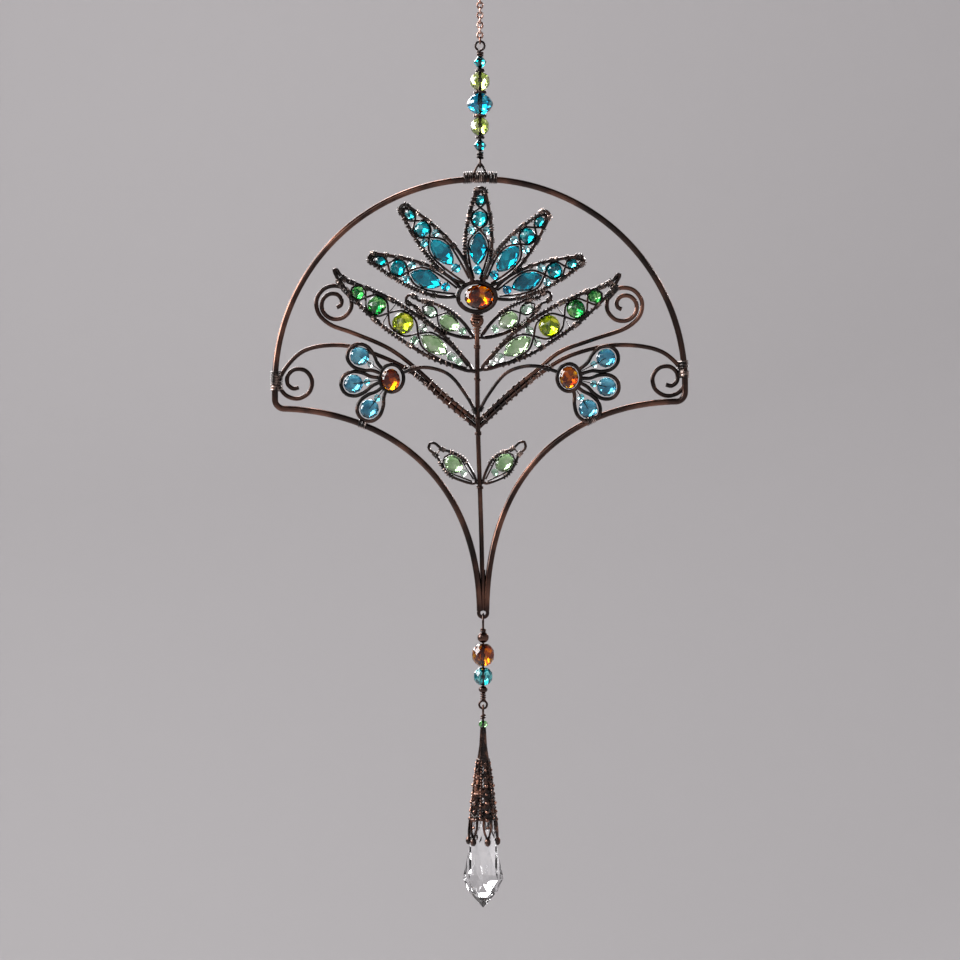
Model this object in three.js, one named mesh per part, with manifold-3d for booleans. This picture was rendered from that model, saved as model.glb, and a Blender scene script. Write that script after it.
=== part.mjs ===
// Crystal suncatcher: a copper wire frame on a chain, filled with wire petals, leaves and scrolls
// that hold cut glass stones, and a crystal drop hung from its foot.
// Millimetres. +X is to the right, +Z is up, and the front faces -Y.
// The origin is the inside top of the ring at the top of the chain.
import * as THREE from "three";
import { ConvexGeometry } from "three/addons/geometries/ConvexGeometry.js";
import { mergeVertices } from "three/addons/utils/BufferGeometryUtils.js";
import Module from "manifold-3d";

// Clearances
const fitGap = 0.3; // between two pieces that touch or rest against each other
const hookGap = 0.45; // between two rings that hook into each other
const bite = 0.06; // how far fused wires run into each other

// Chain and top ring
const ringInner = 6.2;
const ringWire = 0.9;
const linkWire = 0.45;
const linkPitch = 1.6;
const linkCount = 15; // odd, so that the first and last links both stand edge-on

// Bead link between the chain and the frame, from the top down
const linkEyeOuter = 3.5;
const linkEyeWire = 0.6;
const beadWire = 0.8;
const beadHole = beadWire + 2 * fitGap;
const spacerHeight = 0.75;
const spacerDiameters = [3.0, 4.2, 4.2, 3.0];
const upperNeck = 1.3;
const lowerNeck = 1.6;
const upperBeads = [
  { name: "upper_bicone_bead", colour: "teal", diameter: 4.0, height: 4.0 },
  { name: "upper_lime_bead", colour: "lime", diameter: 6.1, height: 5.6 },
  { name: "aqua_rondelle_bead", colour: "aqua", diameter: 8.3, height: 6.2 },
  { name: "lower_lime_bead", colour: "lime", diameter: 5.7, height: 5.5 },
  { name: "lower_bicone_bead", colour: "teal", diameter: 3.9, height: 3.9 },
];
const lowerLoopOuter = 3.6;

// Bail: a triangle of wire standing on a sleeve of wire turns around the frame
const bailWire = 0.8;
const bailHalfFoot = 2.0;
const bailHeight = 3.3;
const sleeveLength = 10.8;
const sleeveWall = 0.35;

// Outer frame
const frameWire = 2.0;
const archRadius = 65.6;
const cornerRadius = 3.0;
const footSpread = 2.1; // centre distance of the two wire ends at the foot
const footCentreX = 1.0;
const footDiscRadius = 2.0;
const footDiscThickness = 1.0;
const footHole = 2.0;
const footDepth = 139.8; // from the top of the arch down to the hole
const footLap = 1.6; // how far the wire ends stop above the hole
const leftCornerDepth = 73.5;
const rightCornerDepth = 71.2;

// Centre: bezel, stone and stem
const bezelWire = 1.3;
const bezelCentre = [-1.0, 38.7];
const bezelHalfWidth = 6.0;
const bezelHalfHeight = 4.75;
const centreStoneWidth = 8.6;
const centreStoneHeight = 7.5;
const centreStoneShift = 0.7;
const stoneDepthShare = 0.5; // a cut stone's depth as a share of its width
const stemWire = 1.6;
const stemEyeOuter = 3.8;
const stemTuck = 2.1; // how far the foot of the stem lies behind the frame wires

// Wires of the petals and leaves
const petalWire = 1.1;
const weaveWire = 0.65;
const leafWire = 0.8;
const scrollWire = 1.5;
const flowerWire = 1.25;
const archedWire = 1.35;
const scrollBehind = 2.05; // the scrolls lie this far behind the frame's plane
const flowerAhead = 2.0; // the side flowers stand this far in front of it

// Top petals: root angle on the bezel, tip, all seen from the front, tips down from the arch top
const petalRootSpread = 13; // degrees on the bezel from a petal's middle to the root of each flank
const eyeEase = 0.15; // extra room around a stone in its woven eye
const petalRootStart = 1.0; // where a petal's woven wires start, along it and to its side
const petalRootHalf = 1.4;
const petalBelly = 6.0;
const petalShoulder = 4.4;
const petalTipHalf = 1.9;
const petalNavette = { length: 9.8, width: 4.8, fromTip: 19.5 };
const petalRound = { length: 4.1, width: 4.1, fromTip: 9.9 };
const petalSmall = { width: 2.6, fromTip: 3.9 };
const petalCrossings = [13.3, 6.3, 1.0]; // measured back from the tip
const petalAhead = petalWire + fitGap + 0.05; // every second petal stands in front of its neighbours
const petals = [
  { root: 165, tip: [-35.4, 25.8], ahead: 0 },
  { root: 121, tip: [-25.0, 9.8], ahead: petalAhead },
  { root: 90, tip: [0.3, 3.8], ahead: 0 },
  { root: 52, tip: [21.6, 11.8], ahead: petalAhead },
  { root: 8, tip: [33.1, 26.6], ahead: 0 },
];

// Long green leaves: half widths as [share of the length, half width], stones measured from the tip
const longLeafHalves = [[0.03, 0.9], [0.12, 2.2], [0.27, 4.0], [0.5, 4.6], [0.7, 4.1], [0.86, 2.8], [1, 1.1]];
const longLeafStones = [
  { kind: "leaf_navette", length: 9.6, width: 5.0, fromTip: 35.4, tip: 2, colour: "sage" },
  { kind: "lime_stone", length: 6.2, width: 6.2, fromTip: 23.3, tip: 1, colour: "lime" },
  { kind: "green_stone", length: 5.4, width: 5.4, fromTip: 13.2, tip: 1, colour: "green" },
];
const longLeafCrossings = [29.2, 17.6, 8.8];
const longLeafWeaveStart = 2.0;
const leafWeaveHalf = 0.26;
const longHookReach = 4.6;
const longHookLift = 1.7;
const longLeaves = {
  left: { rootDown: 62.4, tip: [-43.9, 34.0] },
  right: { rootDown: 61.9, tip: [41.8, 35.5] },
};

// Sage leaves
const sageLeafHalves = [[0.03, 0.7], [0.2, 2.4], [0.45, 3.4], [0.7, 2.9], [0.88, 1.8], [0.98, 0.7]];
const sageStoneLength = 6.2;
const sageStoneWidth = 4.6;
const sageStoneFromTip = 14.2;
const sageCrossingFromTip = 9.4;
const sageWeaveStart = 1.0;
const sageBehind = 1.35; // the sage leaves lie this far behind the long leaves
const sageLeaves = {
  left: { rootDown: 51.6, tip: [-22.0, 39.6] },
  right: { rootDown: 51.6, tip: [21.1, 38.6] },
};

// Buds low on the stem
const budHalves = [[0.03, 0.7], [0.22, 2.2], [0.5, 3.4], [0.78, 2.5], [0.94, 1.4], [1.04, 1.35], [1.13, 1.2]];
const budStoneLength = 5.9;
const budStoneWidth = 5.0;
const budStoneAlong = 8.9;
const budLoopReach = 3.3; // the rounded loop at the tip
const budLoopLift = 0.2;
const buds = {
  left: { rootDown: 98.2, tip: [-13.6, 88.0] },
  right: { rootDown: 98.2, tip: [12.0, 87.7] },
};

// Scrolls: a route of [right, down] points, then a flat spiral
const upperScroll = {
  outer: 6.0, inner: 1.3, startLift: 30, turns: 1.75, power: 2, steps: 22,
  left: { route: [[-2.4, 77.0], [-11, 69.8], [-20.4, 61.2], [-29.1, 55.2], [-40.8, 50.1], [-48.2, 47.3]],
    centre: [-46.6, 40.8] },
  right: { route: [[0.6, 77.0], [8.6, 69.4], [18.9, 60.9], [25.5, 56.3], [35.7, 52.4], [47.4, 48.2]],
    centre: [46.1, 41.4] },
};
const lowerScroll = {
  outer: 5.7, inner: 1.9, startLift: 0, turns: 1.3, power: 1.6, steps: 16,
  left: { route: [[-2.6, 79.2], [-12, 71.7], [-21.4, 63.7], [-31.6, 57.7], [-44.5, 54.1], [-57.2, 56.3]],
    centre: [-58.7, 65.8] },
  right: { route: [[0.8, 79.2], [9.8, 71.3], [20, 62.9], [28.5, 57.6], [43.8, 54.0], [59.1, 56.6]],
    centre: [60.2, 64.9] },
};

// Side flowers
const flowerRingHalfWidth = 3.8;
const flowerRingHalfHeight = 4.4;
const flowerCentreLength = 6.8;
const flowerCentreWidth = 5.5;
const flowerLoopRadius = 3.9;
const flowerStoneSize = 5.8;
const flowers = {
  left: { centre: [-28.2, 64.8], stemRoot: 75.1, loops: [[-38.4, 57.8], [-40.4, 66.6], [-35.3, 74.6]] },
  right: { centre: [28.4, 64.6], stemRoot: 74.6, loops: [[40.2, 58.4], [40.4, 67.6], [34.5, 74.6]] },
};

// Drop below the foot, from the top down
const dropWire = 0.7;
const dropEyeOuter = 5.2;
const dropNeck = 0.9;
const dropLowerNeck = 2.0;
const dropSpacer = { diameter: 3.5, height: 3.5 };
const dropLastSpacer = { diameter: 2.9, height: 2.4 };
const dropBeads = [
  { name: "amber_drop_bead", colour: "amber", diameter: 7.0, height: 7.0 },
  { name: "teal_drop_bead", colour: "teal", diameter: 5.9, height: 5.6 },
];
const dropLoopOuter = 3.2;
const capEyeOuter = 3.6;
const capNeck = 4.0;
const capHeight = 32.6;
const capTopRadius = 0.95;
const capRimRadius = 4.4;
const capWall = 0.5;
const capPocket = 7.4; // how far the cap's hollow reaches up from its rim
const capPoints = 6;
const capPointRadius = 1.3;
const capTurn = 18; // degrees, how far the nearest point is turned to the right
const capPointLength = 5.6;
const capPointFlare = 9; // degrees
const crystalTopRadius = 3.0;
const crystalNeckRadius = 3.6;
const crystalRadius = 6.55;
const crystalLength = 32.4;
const crystalWaist = 9.3; // from the widest place down to the tip
const crystalSides = 8;

// Looks
const copper = { color: 0x8a5a44, roughness: 0.34, metalness: 1 };
const glassColours = {
  teal: 0x0a6f7c,
  aqua: 0x2a9fc4,
  blue: 0x0b6f96,
  sky: 0x3d94c4,
  lime: 0x9ccc1a,
  green: 0x2f9a3a,
  sage: 0x6fa878,
  amber: 0xc05a08,
  clear: 0xe6eef0,
};

const wasm = await Module();
wasm.setup();

const suncatcher = new THREE.Group();

function metal() {
  return new THREE.MeshStandardMaterial(copper);
}

function glass(colour) {
  const look = { color: glassColours[colour], roughness: 0.05, metalness: 0 };
  return new THREE.MeshStandardMaterial({ ...look, transparent: true, opacity: 0.6 });
}

function addPiece(name, geometry, material) {
  const mesh = new THREE.Mesh(geometry, material);
  mesh.name = name;
  suncatcher.add(mesh);
}

// Solids

function solidOf(geometry) {
  const bare = geometry.clone();
  bare.deleteAttribute("normal");
  bare.deleteAttribute("uv");
  const merged = mergeVertices(bare, 1e-4);
  const corners = merged.index.array;
  const kept = [];
  for (let i = 0; i < corners.length; i += 3) {
    const [a, b, c] = [corners[i], corners[i + 1], corners[i + 2]];
    if (a !== b && b !== c && c !== a) kept.push(a, b, c);
  }
  const vertProperties = new Float32Array(merged.attributes.position.array);
  return new wasm.Manifold(new wasm.Mesh({ numProp: 3, vertProperties, triVerts: new Uint32Array(kept) }));
}

function geometryOf(solid) {
  const mesh = solid.getMesh();
  const geometry = new THREE.BufferGeometry();
  geometry.setAttribute("position", new THREE.BufferAttribute(mesh.vertProperties, mesh.numProp));
  geometry.setIndex(new THREE.BufferAttribute(mesh.triVerts, 1));
  geometry.computeVertexNormals();
  return geometry;
}

function fuse(geometries) {
  return geometryOf(geometries.map(solidOf).reduce((whole, part) => whole.add(part)));
}

function section(diameter, sides) {
  const shape = new THREE.Shape();
  for (let i = 0; i < sides; i += 1) {
    const angle = (i * 2 * Math.PI) / sides;
    const [x, y] = [(diameter / 2) * Math.cos(angle), (diameter / 2) * Math.sin(angle)];
    if (i === 0) shape.moveTo(x, y);
    else shape.lineTo(x, y);
  }
  shape.closePath();
  return shape;
}

// A wire along a curve, or along a smooth line through a few points.
function wire(route, diameter, steps, sides = 5) {
  const path = Array.isArray(route) ? new THREE.CatmullRomCurve3(route, false, "centripetal") : route;
  return new THREE.ExtrudeGeometry(section(diameter, sides), { steps, extrudePath: path });
}

// A closed ring of wire, facing the front, or turned edge-on.
function ring(centre, halfWidth, halfHeight, diameter, { edgeOn = false, around = 12, sides = 5 } = {}) {
  const geometry = new THREE.TorusGeometry(halfWidth, diameter / 2, sides, around);
  geometry.rotateX(Math.PI / 2);
  geometry.scale(1, 1, halfHeight / halfWidth);
  if (edgeOn) geometry.rotateZ(Math.PI / 2);
  return geometry.translate(centre.x, centre.y, centre.z);
}

// A solid turned about the Z axis from [radius, height] pairs that run from top to bottom.
function turned(profile, sides = 8) {
  const points = profile.map(([radius, height]) => new THREE.Vector2(radius, height));
  return new THREE.LatheGeometry(points.reverse(), sides).rotateX(Math.PI / 2);
}

// A faceted bead with a hole down its middle, centred at height z.
function bead(x, z, { diameter, height }, hole) {
  const [half, bore, rim] = [height / 2, hole / 2, diameter * 0.28 + hole * 0.2];
  const belt = half * 0.2;
  const profile = [[bore, half], [rim, half], [diameter / 2, belt], [diameter / 2, -belt], [rim, -half]];
  profile.push([bore, -half], [bore, half]);
  return turned(profile, 6).translate(x, 0, z);
}

// A cut stone facing the front: a table in front, a girdle, and a point behind.
// The tip value 1 gives an oval outline and 2 a navette with two pointed ends.
function cutStone(centre, length, width, lengthways, tip = 1, sides = 8) {
  const depth = width * stoneDepthShare;
  const rows = [[0.58, -depth * 0.42], [1, 0]];
  const points = [new THREE.Vector3(0, depth * 0.58, 0)];
  for (const [share, y] of rows) {
    for (let i = 0; i < sides; i += 1) {
      const angle = ((i + (tip === 1 ? 0.5 : 0)) * 2 * Math.PI) / sides;
      const across = Math.sign(Math.sin(angle)) * Math.abs(Math.sin(angle)) ** tip;
      points.push(new THREE.Vector3((share * length * Math.cos(angle)) / 2, y, (share * width * across) / 2));
    }
  }
  const geometry = new ConvexGeometry(points);
  geometry.rotateY(-Math.atan2(lengthways.z, lengthways.x));
  return geometry.translate(centre.x, centre.y, centre.z);
}

// Places

// The chain hangs on the ring, and each link's inside rests on the next one's.
const linkRadius = (linkPitch + linkWire) / 2 - bite / 2;
const firstLinkZ = -ringInner + linkWire / 2 - bite - linkRadius;
const lastLinkZ = firstLinkZ - (linkCount - 1) * linkPitch;
const linkEyeRadius = (linkEyeOuter - linkEyeWire) / 2;
const linkEyeZ = lastLinkZ - linkRadius + linkWire / 2 + fitGap + linkEyeWire / 2 - linkEyeRadius;
const columnTopZ = linkEyeZ - linkEyeOuter / 2 - upperNeck;
const columnHeight = upperBeads.reduce((sum, { height }) => sum + height + 2 * fitGap, 0);
const columnBottomZ = columnTopZ - columnHeight - (upperBeads.length - 1) * spacerHeight;
const lowerLoopRadius = (lowerLoopOuter - beadWire) / 2;
const lowerLoopZ = columnBottomZ - lowerNeck - lowerLoopOuter / 2;
const bailApexZ = lowerLoopZ - lowerLoopRadius + beadWire / 2 + bailWire / 2 + hookGap;
const sleeveInner = frameWire / 2 + fitGap;
const sleeveOuter = (sleeveInner + sleeveWall) * 1.06; // its flat sides stay outside the bore
const archTopZ = bailApexZ - bailHeight - sleeveWall - fitGap;

// A point by its distance right of the middle, down from the top of the arch, and behind its plane.
function at(right, down, behind = 0) {
  return new THREE.Vector3(right, behind, archTopZ - down);
}

// The stem leans a little: its distance right of the middle at a depth below the arch top.
function stemX(down) {
  return -0.95 + 1.7 * THREE.MathUtils.smoothstep(down, 60, 136);
}

// A local grid along a petal or leaf: how far along, how far to the left of it, how far behind.
function gridAlong(base, tip) {
  const length = base.distanceTo(tip);
  const forward = tip.clone().sub(base).divideScalar(length);
  const sideways = new THREE.Vector3(-forward.z, 0, forward.x);
  const place = (along, left, behind = 0) => {
    const point = base.clone().addScaledVector(forward, along).addScaledVector(sideways, left);
    point.y += behind;
    return point;
  };
  return { length, forward, place };
}

// Chain, bead link and bail

const chainPieces = [ring(new THREE.Vector3(0, 0, -ringInner / 2), (ringInner + ringWire) / 2,
  (ringInner + ringWire) / 2, ringWire, { around: 12, sides: 4 })];
for (let i = 0; i < linkCount; i += 1) {
  const centre = new THREE.Vector3(0, 0, firstLinkZ - i * linkPitch);
  const shape = { edgeOn: i % 2 === 0, around: 6, sides: 3 };
  chainPieces.push(ring(centre, linkRadius, linkRadius, linkWire, shape));
}
addPiece("hanging_chain", fuse(chainPieces), metal());

const linkParts = [
  ring(new THREE.Vector3(0, 0, linkEyeZ), linkEyeRadius, linkEyeRadius, linkEyeWire,
    { around: 10, sides: 4 }),
  ring(new THREE.Vector3(0, 0, lowerLoopZ), lowerLoopRadius, lowerLoopRadius, beadWire,
    { edgeOn: true, around: 10, sides: 4 }),
];
const core = [[0, linkEyeZ - linkEyeRadius], [beadWire / 2, linkEyeZ - linkEyeRadius]];
let beadTopZ = columnTopZ;
upperBeads.forEach((shape, index) => {
  const beadBottomZ = beadTopZ - shape.height - 2 * fitGap;
  const seatZ = beadBottomZ + fitGap;
  addPiece(shape.name, bead(0, seatZ + shape.height / 2, shape, beadHole), glass(shape.colour));
  const last = index === upperBeads.length - 1;
  const spacerBottomZ = beadBottomZ - spacerHeight;
  if (!last) {
    core.push([beadWire / 2, beadBottomZ], [spacerDiameters[index] / 2, beadBottomZ - spacerHeight / 2]);
    core.push([beadWire / 2, spacerBottomZ]);
  }
  beadTopZ = last ? beadBottomZ : spacerBottomZ;
});
core.push([beadWire / 2, lowerLoopZ + lowerLoopRadius], [0, lowerLoopZ + lowerLoopRadius]);
for (const [topZ, length] of [[columnTopZ + upperNeck, upperNeck], [columnBottomZ, lowerNeck]]) {
  const turns = [[0, topZ], [beadWire, topZ], [beadWire, topZ - length * 0.9], [0, topZ - length * 0.9]];
  linkParts.push(turned(turns, 5));
}
linkParts.push(turned(core, 5));
addPiece("bead_link_wire", fuse(linkParts), metal());

const sleeveSides = 8;
const sleeveSection = section(2 * sleeveOuter, sleeveSides);
const sleeveBore = section((2 * sleeveInner) / Math.cos(Math.PI / sleeveSides), sleeveSides);
sleeveSection.holes.push(new THREE.Path(sleeveBore.getPoints().reverse()));
const sleeveRoute = [-0.5, -0.25, 0, 0.25, 0.5].map((share) => {
  const angle = (share * sleeveLength) / archRadius;
  return at(archRadius * Math.sin(angle), frameWire / 2 + archRadius * (1 - Math.cos(angle)));
});
const sleevePath = new THREE.CatmullRomCurve3(sleeveRoute, false, "centripetal");
const bailFootZ = at(0, frameWire / 2).z + sleeveInner + sleeveWall / 2;
const bailTop = new THREE.Vector3(0, 0, bailApexZ);
addPiece("frame_bail", fuse([
  new THREE.ExtrudeGeometry(sleeveSection, { steps: 4, extrudePath: sleevePath }),
  wire([new THREE.Vector3(-bailHalfFoot, 0, bailFootZ - bite), new THREE.Vector3(-bailHalfFoot * 0.45, 0,
    bailApexZ - 1.0), bailTop, new THREE.Vector3(bailHalfFoot * 0.45, 0, bailApexZ - 1.0),
    new THREE.Vector3(bailHalfFoot, 0, bailFootZ - bite)], bailWire, 10, 4),
]), metal());

// Outer frame: half a circle, two short sides, rounded corners, and wings that sweep down to the foot

function frameRoute(side) {
  const left = side === "left";
  const sign = left ? -1 : 1;
  const cornerDepth = left ? leftCornerDepth : rightCornerDepth;
  const footX = footCentreX + (sign * footSpread) / 2;
  const centreDepth = archRadius + frameWire / 2;
  const route = new THREE.CurvePath();
  const overlap = 0.004 * archRadius;
  const arch = [];
  for (let i = 0; i <= 18; i += 1) {
    const angle = (i / 18) * (Math.PI / 2);
    const reach = i === 0 ? -sign * overlap : sign * archRadius * Math.sin(angle);
    arch.push(at(reach, centreDepth - archRadius * Math.cos(angle)));
  }
  route.add(new THREE.CatmullRomCurve3(arch, false, "centripetal"));
  const edgeX = sign * archRadius;
  const bendTop = cornerDepth - cornerRadius + frameWire / 2;
  route.add(new THREE.LineCurve3(at(edgeX, centreDepth), at(edgeX, bendTop)));
  route.add(new THREE.QuadraticBezierCurve3(at(edgeX, cornerDepth - cornerRadius + frameWire / 2),
    at(edgeX, cornerDepth + frameWire / 2), at(edgeX - sign * cornerRadius, cornerDepth + frameWire / 2)));
  const bend = left ? [at(-36, 75.2), at(-1, 90.5)] : [at(38, 72.6), at(2.6, 86)];
  route.add(new THREE.CubicBezierCurve3(at(edgeX - sign * cornerRadius, cornerDepth + frameWire / 2),
    bend[0], bend[1], at(footX, footDepth - footLap)));
  return route;
}

const footCentre = at(footCentreX, footDepth);
const footDisc = new THREE.CylinderGeometry(footDiscRadius, footDiscRadius, footDiscThickness, 12)
  .translate(footCentre.x, footCentre.y, footCentre.z);
const footBore = new THREE.CylinderGeometry(footHole / 2, footHole / 2, 4 * footDiscThickness, 8)
  .translate(footCentre.x, footCentre.y, footCentre.z);
const frameSolid = solidOf(wire(frameRoute("left"), frameWire, 32, 5))
  .add(solidOf(wire(frameRoute("right"), frameWire, 32, 5)))
  .add(solidOf(footDisc))
  .subtract(solidOf(footBore));
addPiece("outer_frame", geometryOf(frameSolid), metal());

// Centre stem, bezel and stone

const bezelMiddle = at(bezelCentre[0], bezelCentre[1]);
const bezel = ring(bezelMiddle, bezelHalfWidth, bezelHalfHeight, bezelWire, { around: 14, sides: 4 });
addPiece("centre_bezel", bezel, metal());
const centreStone = bezelMiddle.clone().add(new THREE.Vector3(centreStoneShift, 0, 0));
addPiece("centre_stone", cutStone(centreStone, centreStoneWidth, centreStoneHeight,
  new THREE.Vector3(1, 0, 0), 1, 10), glass("amber"));

const stemEyeRadius = (stemEyeOuter - stemWire * 0.75) / 2;
const stemEyeDown = bezelCentre[1] + bezelHalfHeight + bezelWire / 2 + fitGap + stemEyeOuter / 2;
const stemPoints = [stemEyeDown + stemEyeRadius, 80, 104, 116, 124, footDepth - footLap - 2].map((down) =>
  at(stemX(down), down, stemTuck * THREE.MathUtils.smoothstep(down, 103, 122)));
addPiece("centre_stem", fuse([
  wire(stemPoints, stemWire, 14, 5),
  ring(at(stemX(0), stemEyeDown), stemEyeRadius, stemEyeRadius, stemWire * 0.75),
]), metal());

// Woven eyes: two thin wires that start beside the flanks and cross between the stones.
// Each eye is [distance along, half width], and each crossing a distance along.
function weave(place, start, startHalf, eyes, crossings, steps) {
  return [1, -1].map((first) => {
    const points = [place(start, startHalf * first)];
    let lastCrossing = start;
    eyes.forEach(([along, half], index) => {
      const side = half * (index % 2 === 0 ? first : -first);
      const [before, after] = [along - lastCrossing, crossings[index] - along];
      points.push(place(along - before * 0.5, side * 0.86), place(along, side));
      points.push(place(along + after * 0.5, side * 0.86), place(crossings[index], 0));
      lastCrossing = crossings[index];
    });
    return wire(points, weaveWire, steps, 3);
  });
}

function eyeHalf(width) {
  return width / 2 + fitGap + eyeEase + weaveWire / 2;
}

// Top petals

// Where a petal wire meets the bezel, at an angle from the right.
function bezelRoot(degrees, ahead) {
  const angle = THREE.MathUtils.degToRad(degrees);
  const [cos, sin] = [Math.cos(angle), Math.sin(angle)];
  const outerHalves = [bezelHalfWidth + bezelWire / 2, bezelHalfHeight + bezelWire / 2];
  const reach = 1 / Math.hypot(cos / outerHalves[0], sin / outerHalves[1]) + fitGap + petalWire / 2;
  return bezelMiddle.clone().add(new THREE.Vector3(reach * cos, -ahead, reach * sin));
}

petals.forEach(({ root, tip, ahead }, index) => {
  const base = bezelRoot(root, ahead);
  const { length, forward, place } = gridAlong(base, at(tip[0], tip[1], -ahead));
  const shoulderEnd = length - petalTipHalf;
  const flanks = [1, -1].map((sign) => {
    const flank = new THREE.CurvePath();
    const flankRoot = bezelRoot(root + sign * petalRootSpread, ahead);
    flank.add(new THREE.CubicBezierCurve3(flankRoot, place(0.22 * length, sign * petalBelly),
      place(0.6 * length, sign * petalShoulder), place(shoulderEnd, sign * petalTipHalf)));
    flank.add(new THREE.CubicBezierCurve3(place(shoulderEnd, sign * petalTipHalf),
      place(shoulderEnd + petalTipHalf * 0.55, sign * petalTipHalf),
      place(length, sign * petalTipHalf * 0.55), place(length, -sign * bite)));
    return wire(flank, petalWire, 7, 4);
  });
  const fromTip = (distance) => length - distance;
  const eyes = [
    [fromTip(petalNavette.fromTip), eyeHalf(petalNavette.width)],
    [fromTip(petalRound.fromTip), eyeHalf(petalRound.width)],
    [fromTip(petalSmall.fromTip), eyeHalf(petalSmall.width)],
  ];
  addPiece(`petal_wire_${index + 1}`, fuse([
    ...flanks,
    ...weave(place, petalRootStart, petalRootHalf, eyes, petalCrossings.map(fromTip), 10),
  ]), metal());
  const stones = [["navette", petalNavette, 2, "blue"], ["round", petalRound, 1, "teal"]];
  for (const [kind, { length: long, width, fromTip: distance }, cut, colour] of stones) {
    const stone = cutStone(place(fromTip(distance), 0), long, width, forward, cut);
    addPiece(`petal_${kind}_${index + 1}`, stone, glass(colour));
  }
});

// Leaves and buds

// The two flanks of a leaf from [share of the length, half width] pairs, meeting in a hooked tip.
function leafFlanks({ length, place }, halves, hook, diameter, steps, sides) {
  return [1, -1].map((sign) => {
    const flank = halves.map(([share, half]) => place(share * length, sign * half));
    return wire([place(0, 0), ...flank, place(length + hook.reach, hook.lift)], diameter, steps, sides);
  });
}

const noHook = { reach: 0.4, lift: 0 };
const leafPieces = { sage: [], bud: [] };
for (const side of ["left", "right"]) {
  const sign = side === "left" ? -1 : 1;

  const rootX = (down, wireSize) => stemX(down) + sign * (stemWire / 2 + fitGap + wireSize / 2);

  const long = longLeaves[side];
  const longGrid = gridAlong(at(rootX(long.rootDown, petalWire), long.rootDown), at(...long.tip));
  const hook = { reach: longHookReach, lift: sign * longHookLift };
  const longPlace = longGrid.place;
  const fromTip = (distance) => longGrid.length - distance;
  const longEyes = longLeafStones.map(({ width, fromTip: distance }) => [fromTip(distance), eyeHalf(width)]);
  addPiece(`${side}_long_leaf_wire`, fuse([
    ...leafFlanks(longGrid, longLeafHalves, hook, petalWire, 12, 4),
    ...weave(longPlace, longLeafWeaveStart, leafWeaveHalf, longEyes, longLeafCrossings.map(fromTip), 12),
  ]), metal());
  for (const { kind, length, width, fromTip: distance, tip, colour } of longLeafStones) {
    const stone = cutStone(longPlace(fromTip(distance), 0), length, width, longGrid.forward, tip);
    addPiece(`${side}_${kind}`, stone, glass(colour));
  }

  const sage = sageLeaves[side];
  const sageGrid = gridAlong(at(rootX(sage.rootDown, leafWire), sage.rootDown, sageBehind),
    at(...sage.tip, sageBehind));
  const sageStone = sageGrid.length - sageStoneFromTip;
  const sageCross = sageGrid.length - sageCrossingFromTip;
  const sageEyes = [[sageStone, eyeHalf(sageStoneWidth)], [sageGrid.length - 6, 2.0]];
  leafPieces.sage.push(
    ...leafFlanks(sageGrid, sageLeafHalves, noHook, leafWire, 6, 4),
    ...weave(sageGrid.place, sageWeaveStart, leafWeaveHalf, sageEyes, [sageCross, sageGrid.length - 1], 7),
  );
  const sageGem = cutStone(sageGrid.place(sageStone, 0), sageStoneLength, sageStoneWidth, sageGrid.forward);
  addPiece(`${side}_sage_stone`, sageGem, glass("sage"));

  const bud = buds[side];
  const budGrid = gridAlong(at(rootX(bud.rootDown, leafWire), bud.rootDown), at(...bud.tip));
  const budLoop = { reach: budLoopReach, lift: sign * budLoopLift };
  leafPieces.bud.push(...leafFlanks(budGrid, budHalves, budLoop, leafWire, 9, 4));
  const budGem = cutStone(budGrid.place(budStoneAlong, 0), budStoneLength, budStoneWidth, budGrid.forward);
  addPiece(`${side}_bud_stone`, budGem, glass("sage"));
}

// The sage leaves are bent from one wire, and so are the buds: it passes behind the stem between them.
for (const [name, rootDown, from] of [["sage", sageLeaves.left.rootDown, sageBehind],
  ["bud", buds.left.rootDown, 0]]) {
  const out = stemWire / 2 + fitGap + leafWire / 2;
  const x = stemX(rootDown);
  const bend = Math.max(from, out * 0.7);
  const bridge = [at(x - out, rootDown, from - bite), at(x - out * 0.8, rootDown, bend), at(x, rootDown, out),
    at(x + out * 0.8, rootDown, bend), at(x + out, rootDown, from - bite)];
  addPiece(`${name}_leaf_wire`, fuse([...leafPieces[name], wire(bridge, leafWire, 6, 4)]), metal());
}

// Scrolls: each wire runs up the V from behind the stem, over the leaves, and into a flat spiral

// Points of a spiral whose angle is measured clockwise from the right, seen from the front.
function spiral([x, down], { outer, inner, start, turns, power }, sense) {
  const points = [];
  const count = Math.round(turns * 8);
  for (let i = 0; i <= count; i += 1) {
    const share = i / count;
    const angle = THREE.MathUtils.degToRad(start) + sense * share * turns * 2 * Math.PI;
    const radius = outer - (outer - inner) * share ** power;
    points.push(at(x + radius * Math.cos(angle), down + radius * Math.sin(angle), scrollBehind));
  }
  return points;
}

for (const side of ["left", "right"]) {
  const sense = side === "left" ? 1 : -1;
  for (const [level, curve] of [["upper", upperScroll], ["lower", lowerScroll]]) {
    const { route, centre } = curve[side];
    const turn = level === "upper" ? sense : -sense;
    const start = side === "left" ? 180 - curve.startLift : curve.startLift;
    const run = route.map(([x, down]) => at(x, down, scrollBehind));
    const coil = spiral(centre, { ...curve, start }, turn);
    const lap = run.at(-1);
    addPiece(`${side}_${level}_scroll`, fuse([
      wire([...run, coil[0]], scrollWire, 9, 4),
      wire([lap, ...coil], scrollWire, curve.steps, 4),
    ]), metal());
  }
}

// Side flowers: an oval ring around an amber stone, three wire loops with a stone each, an arched stem

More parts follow.
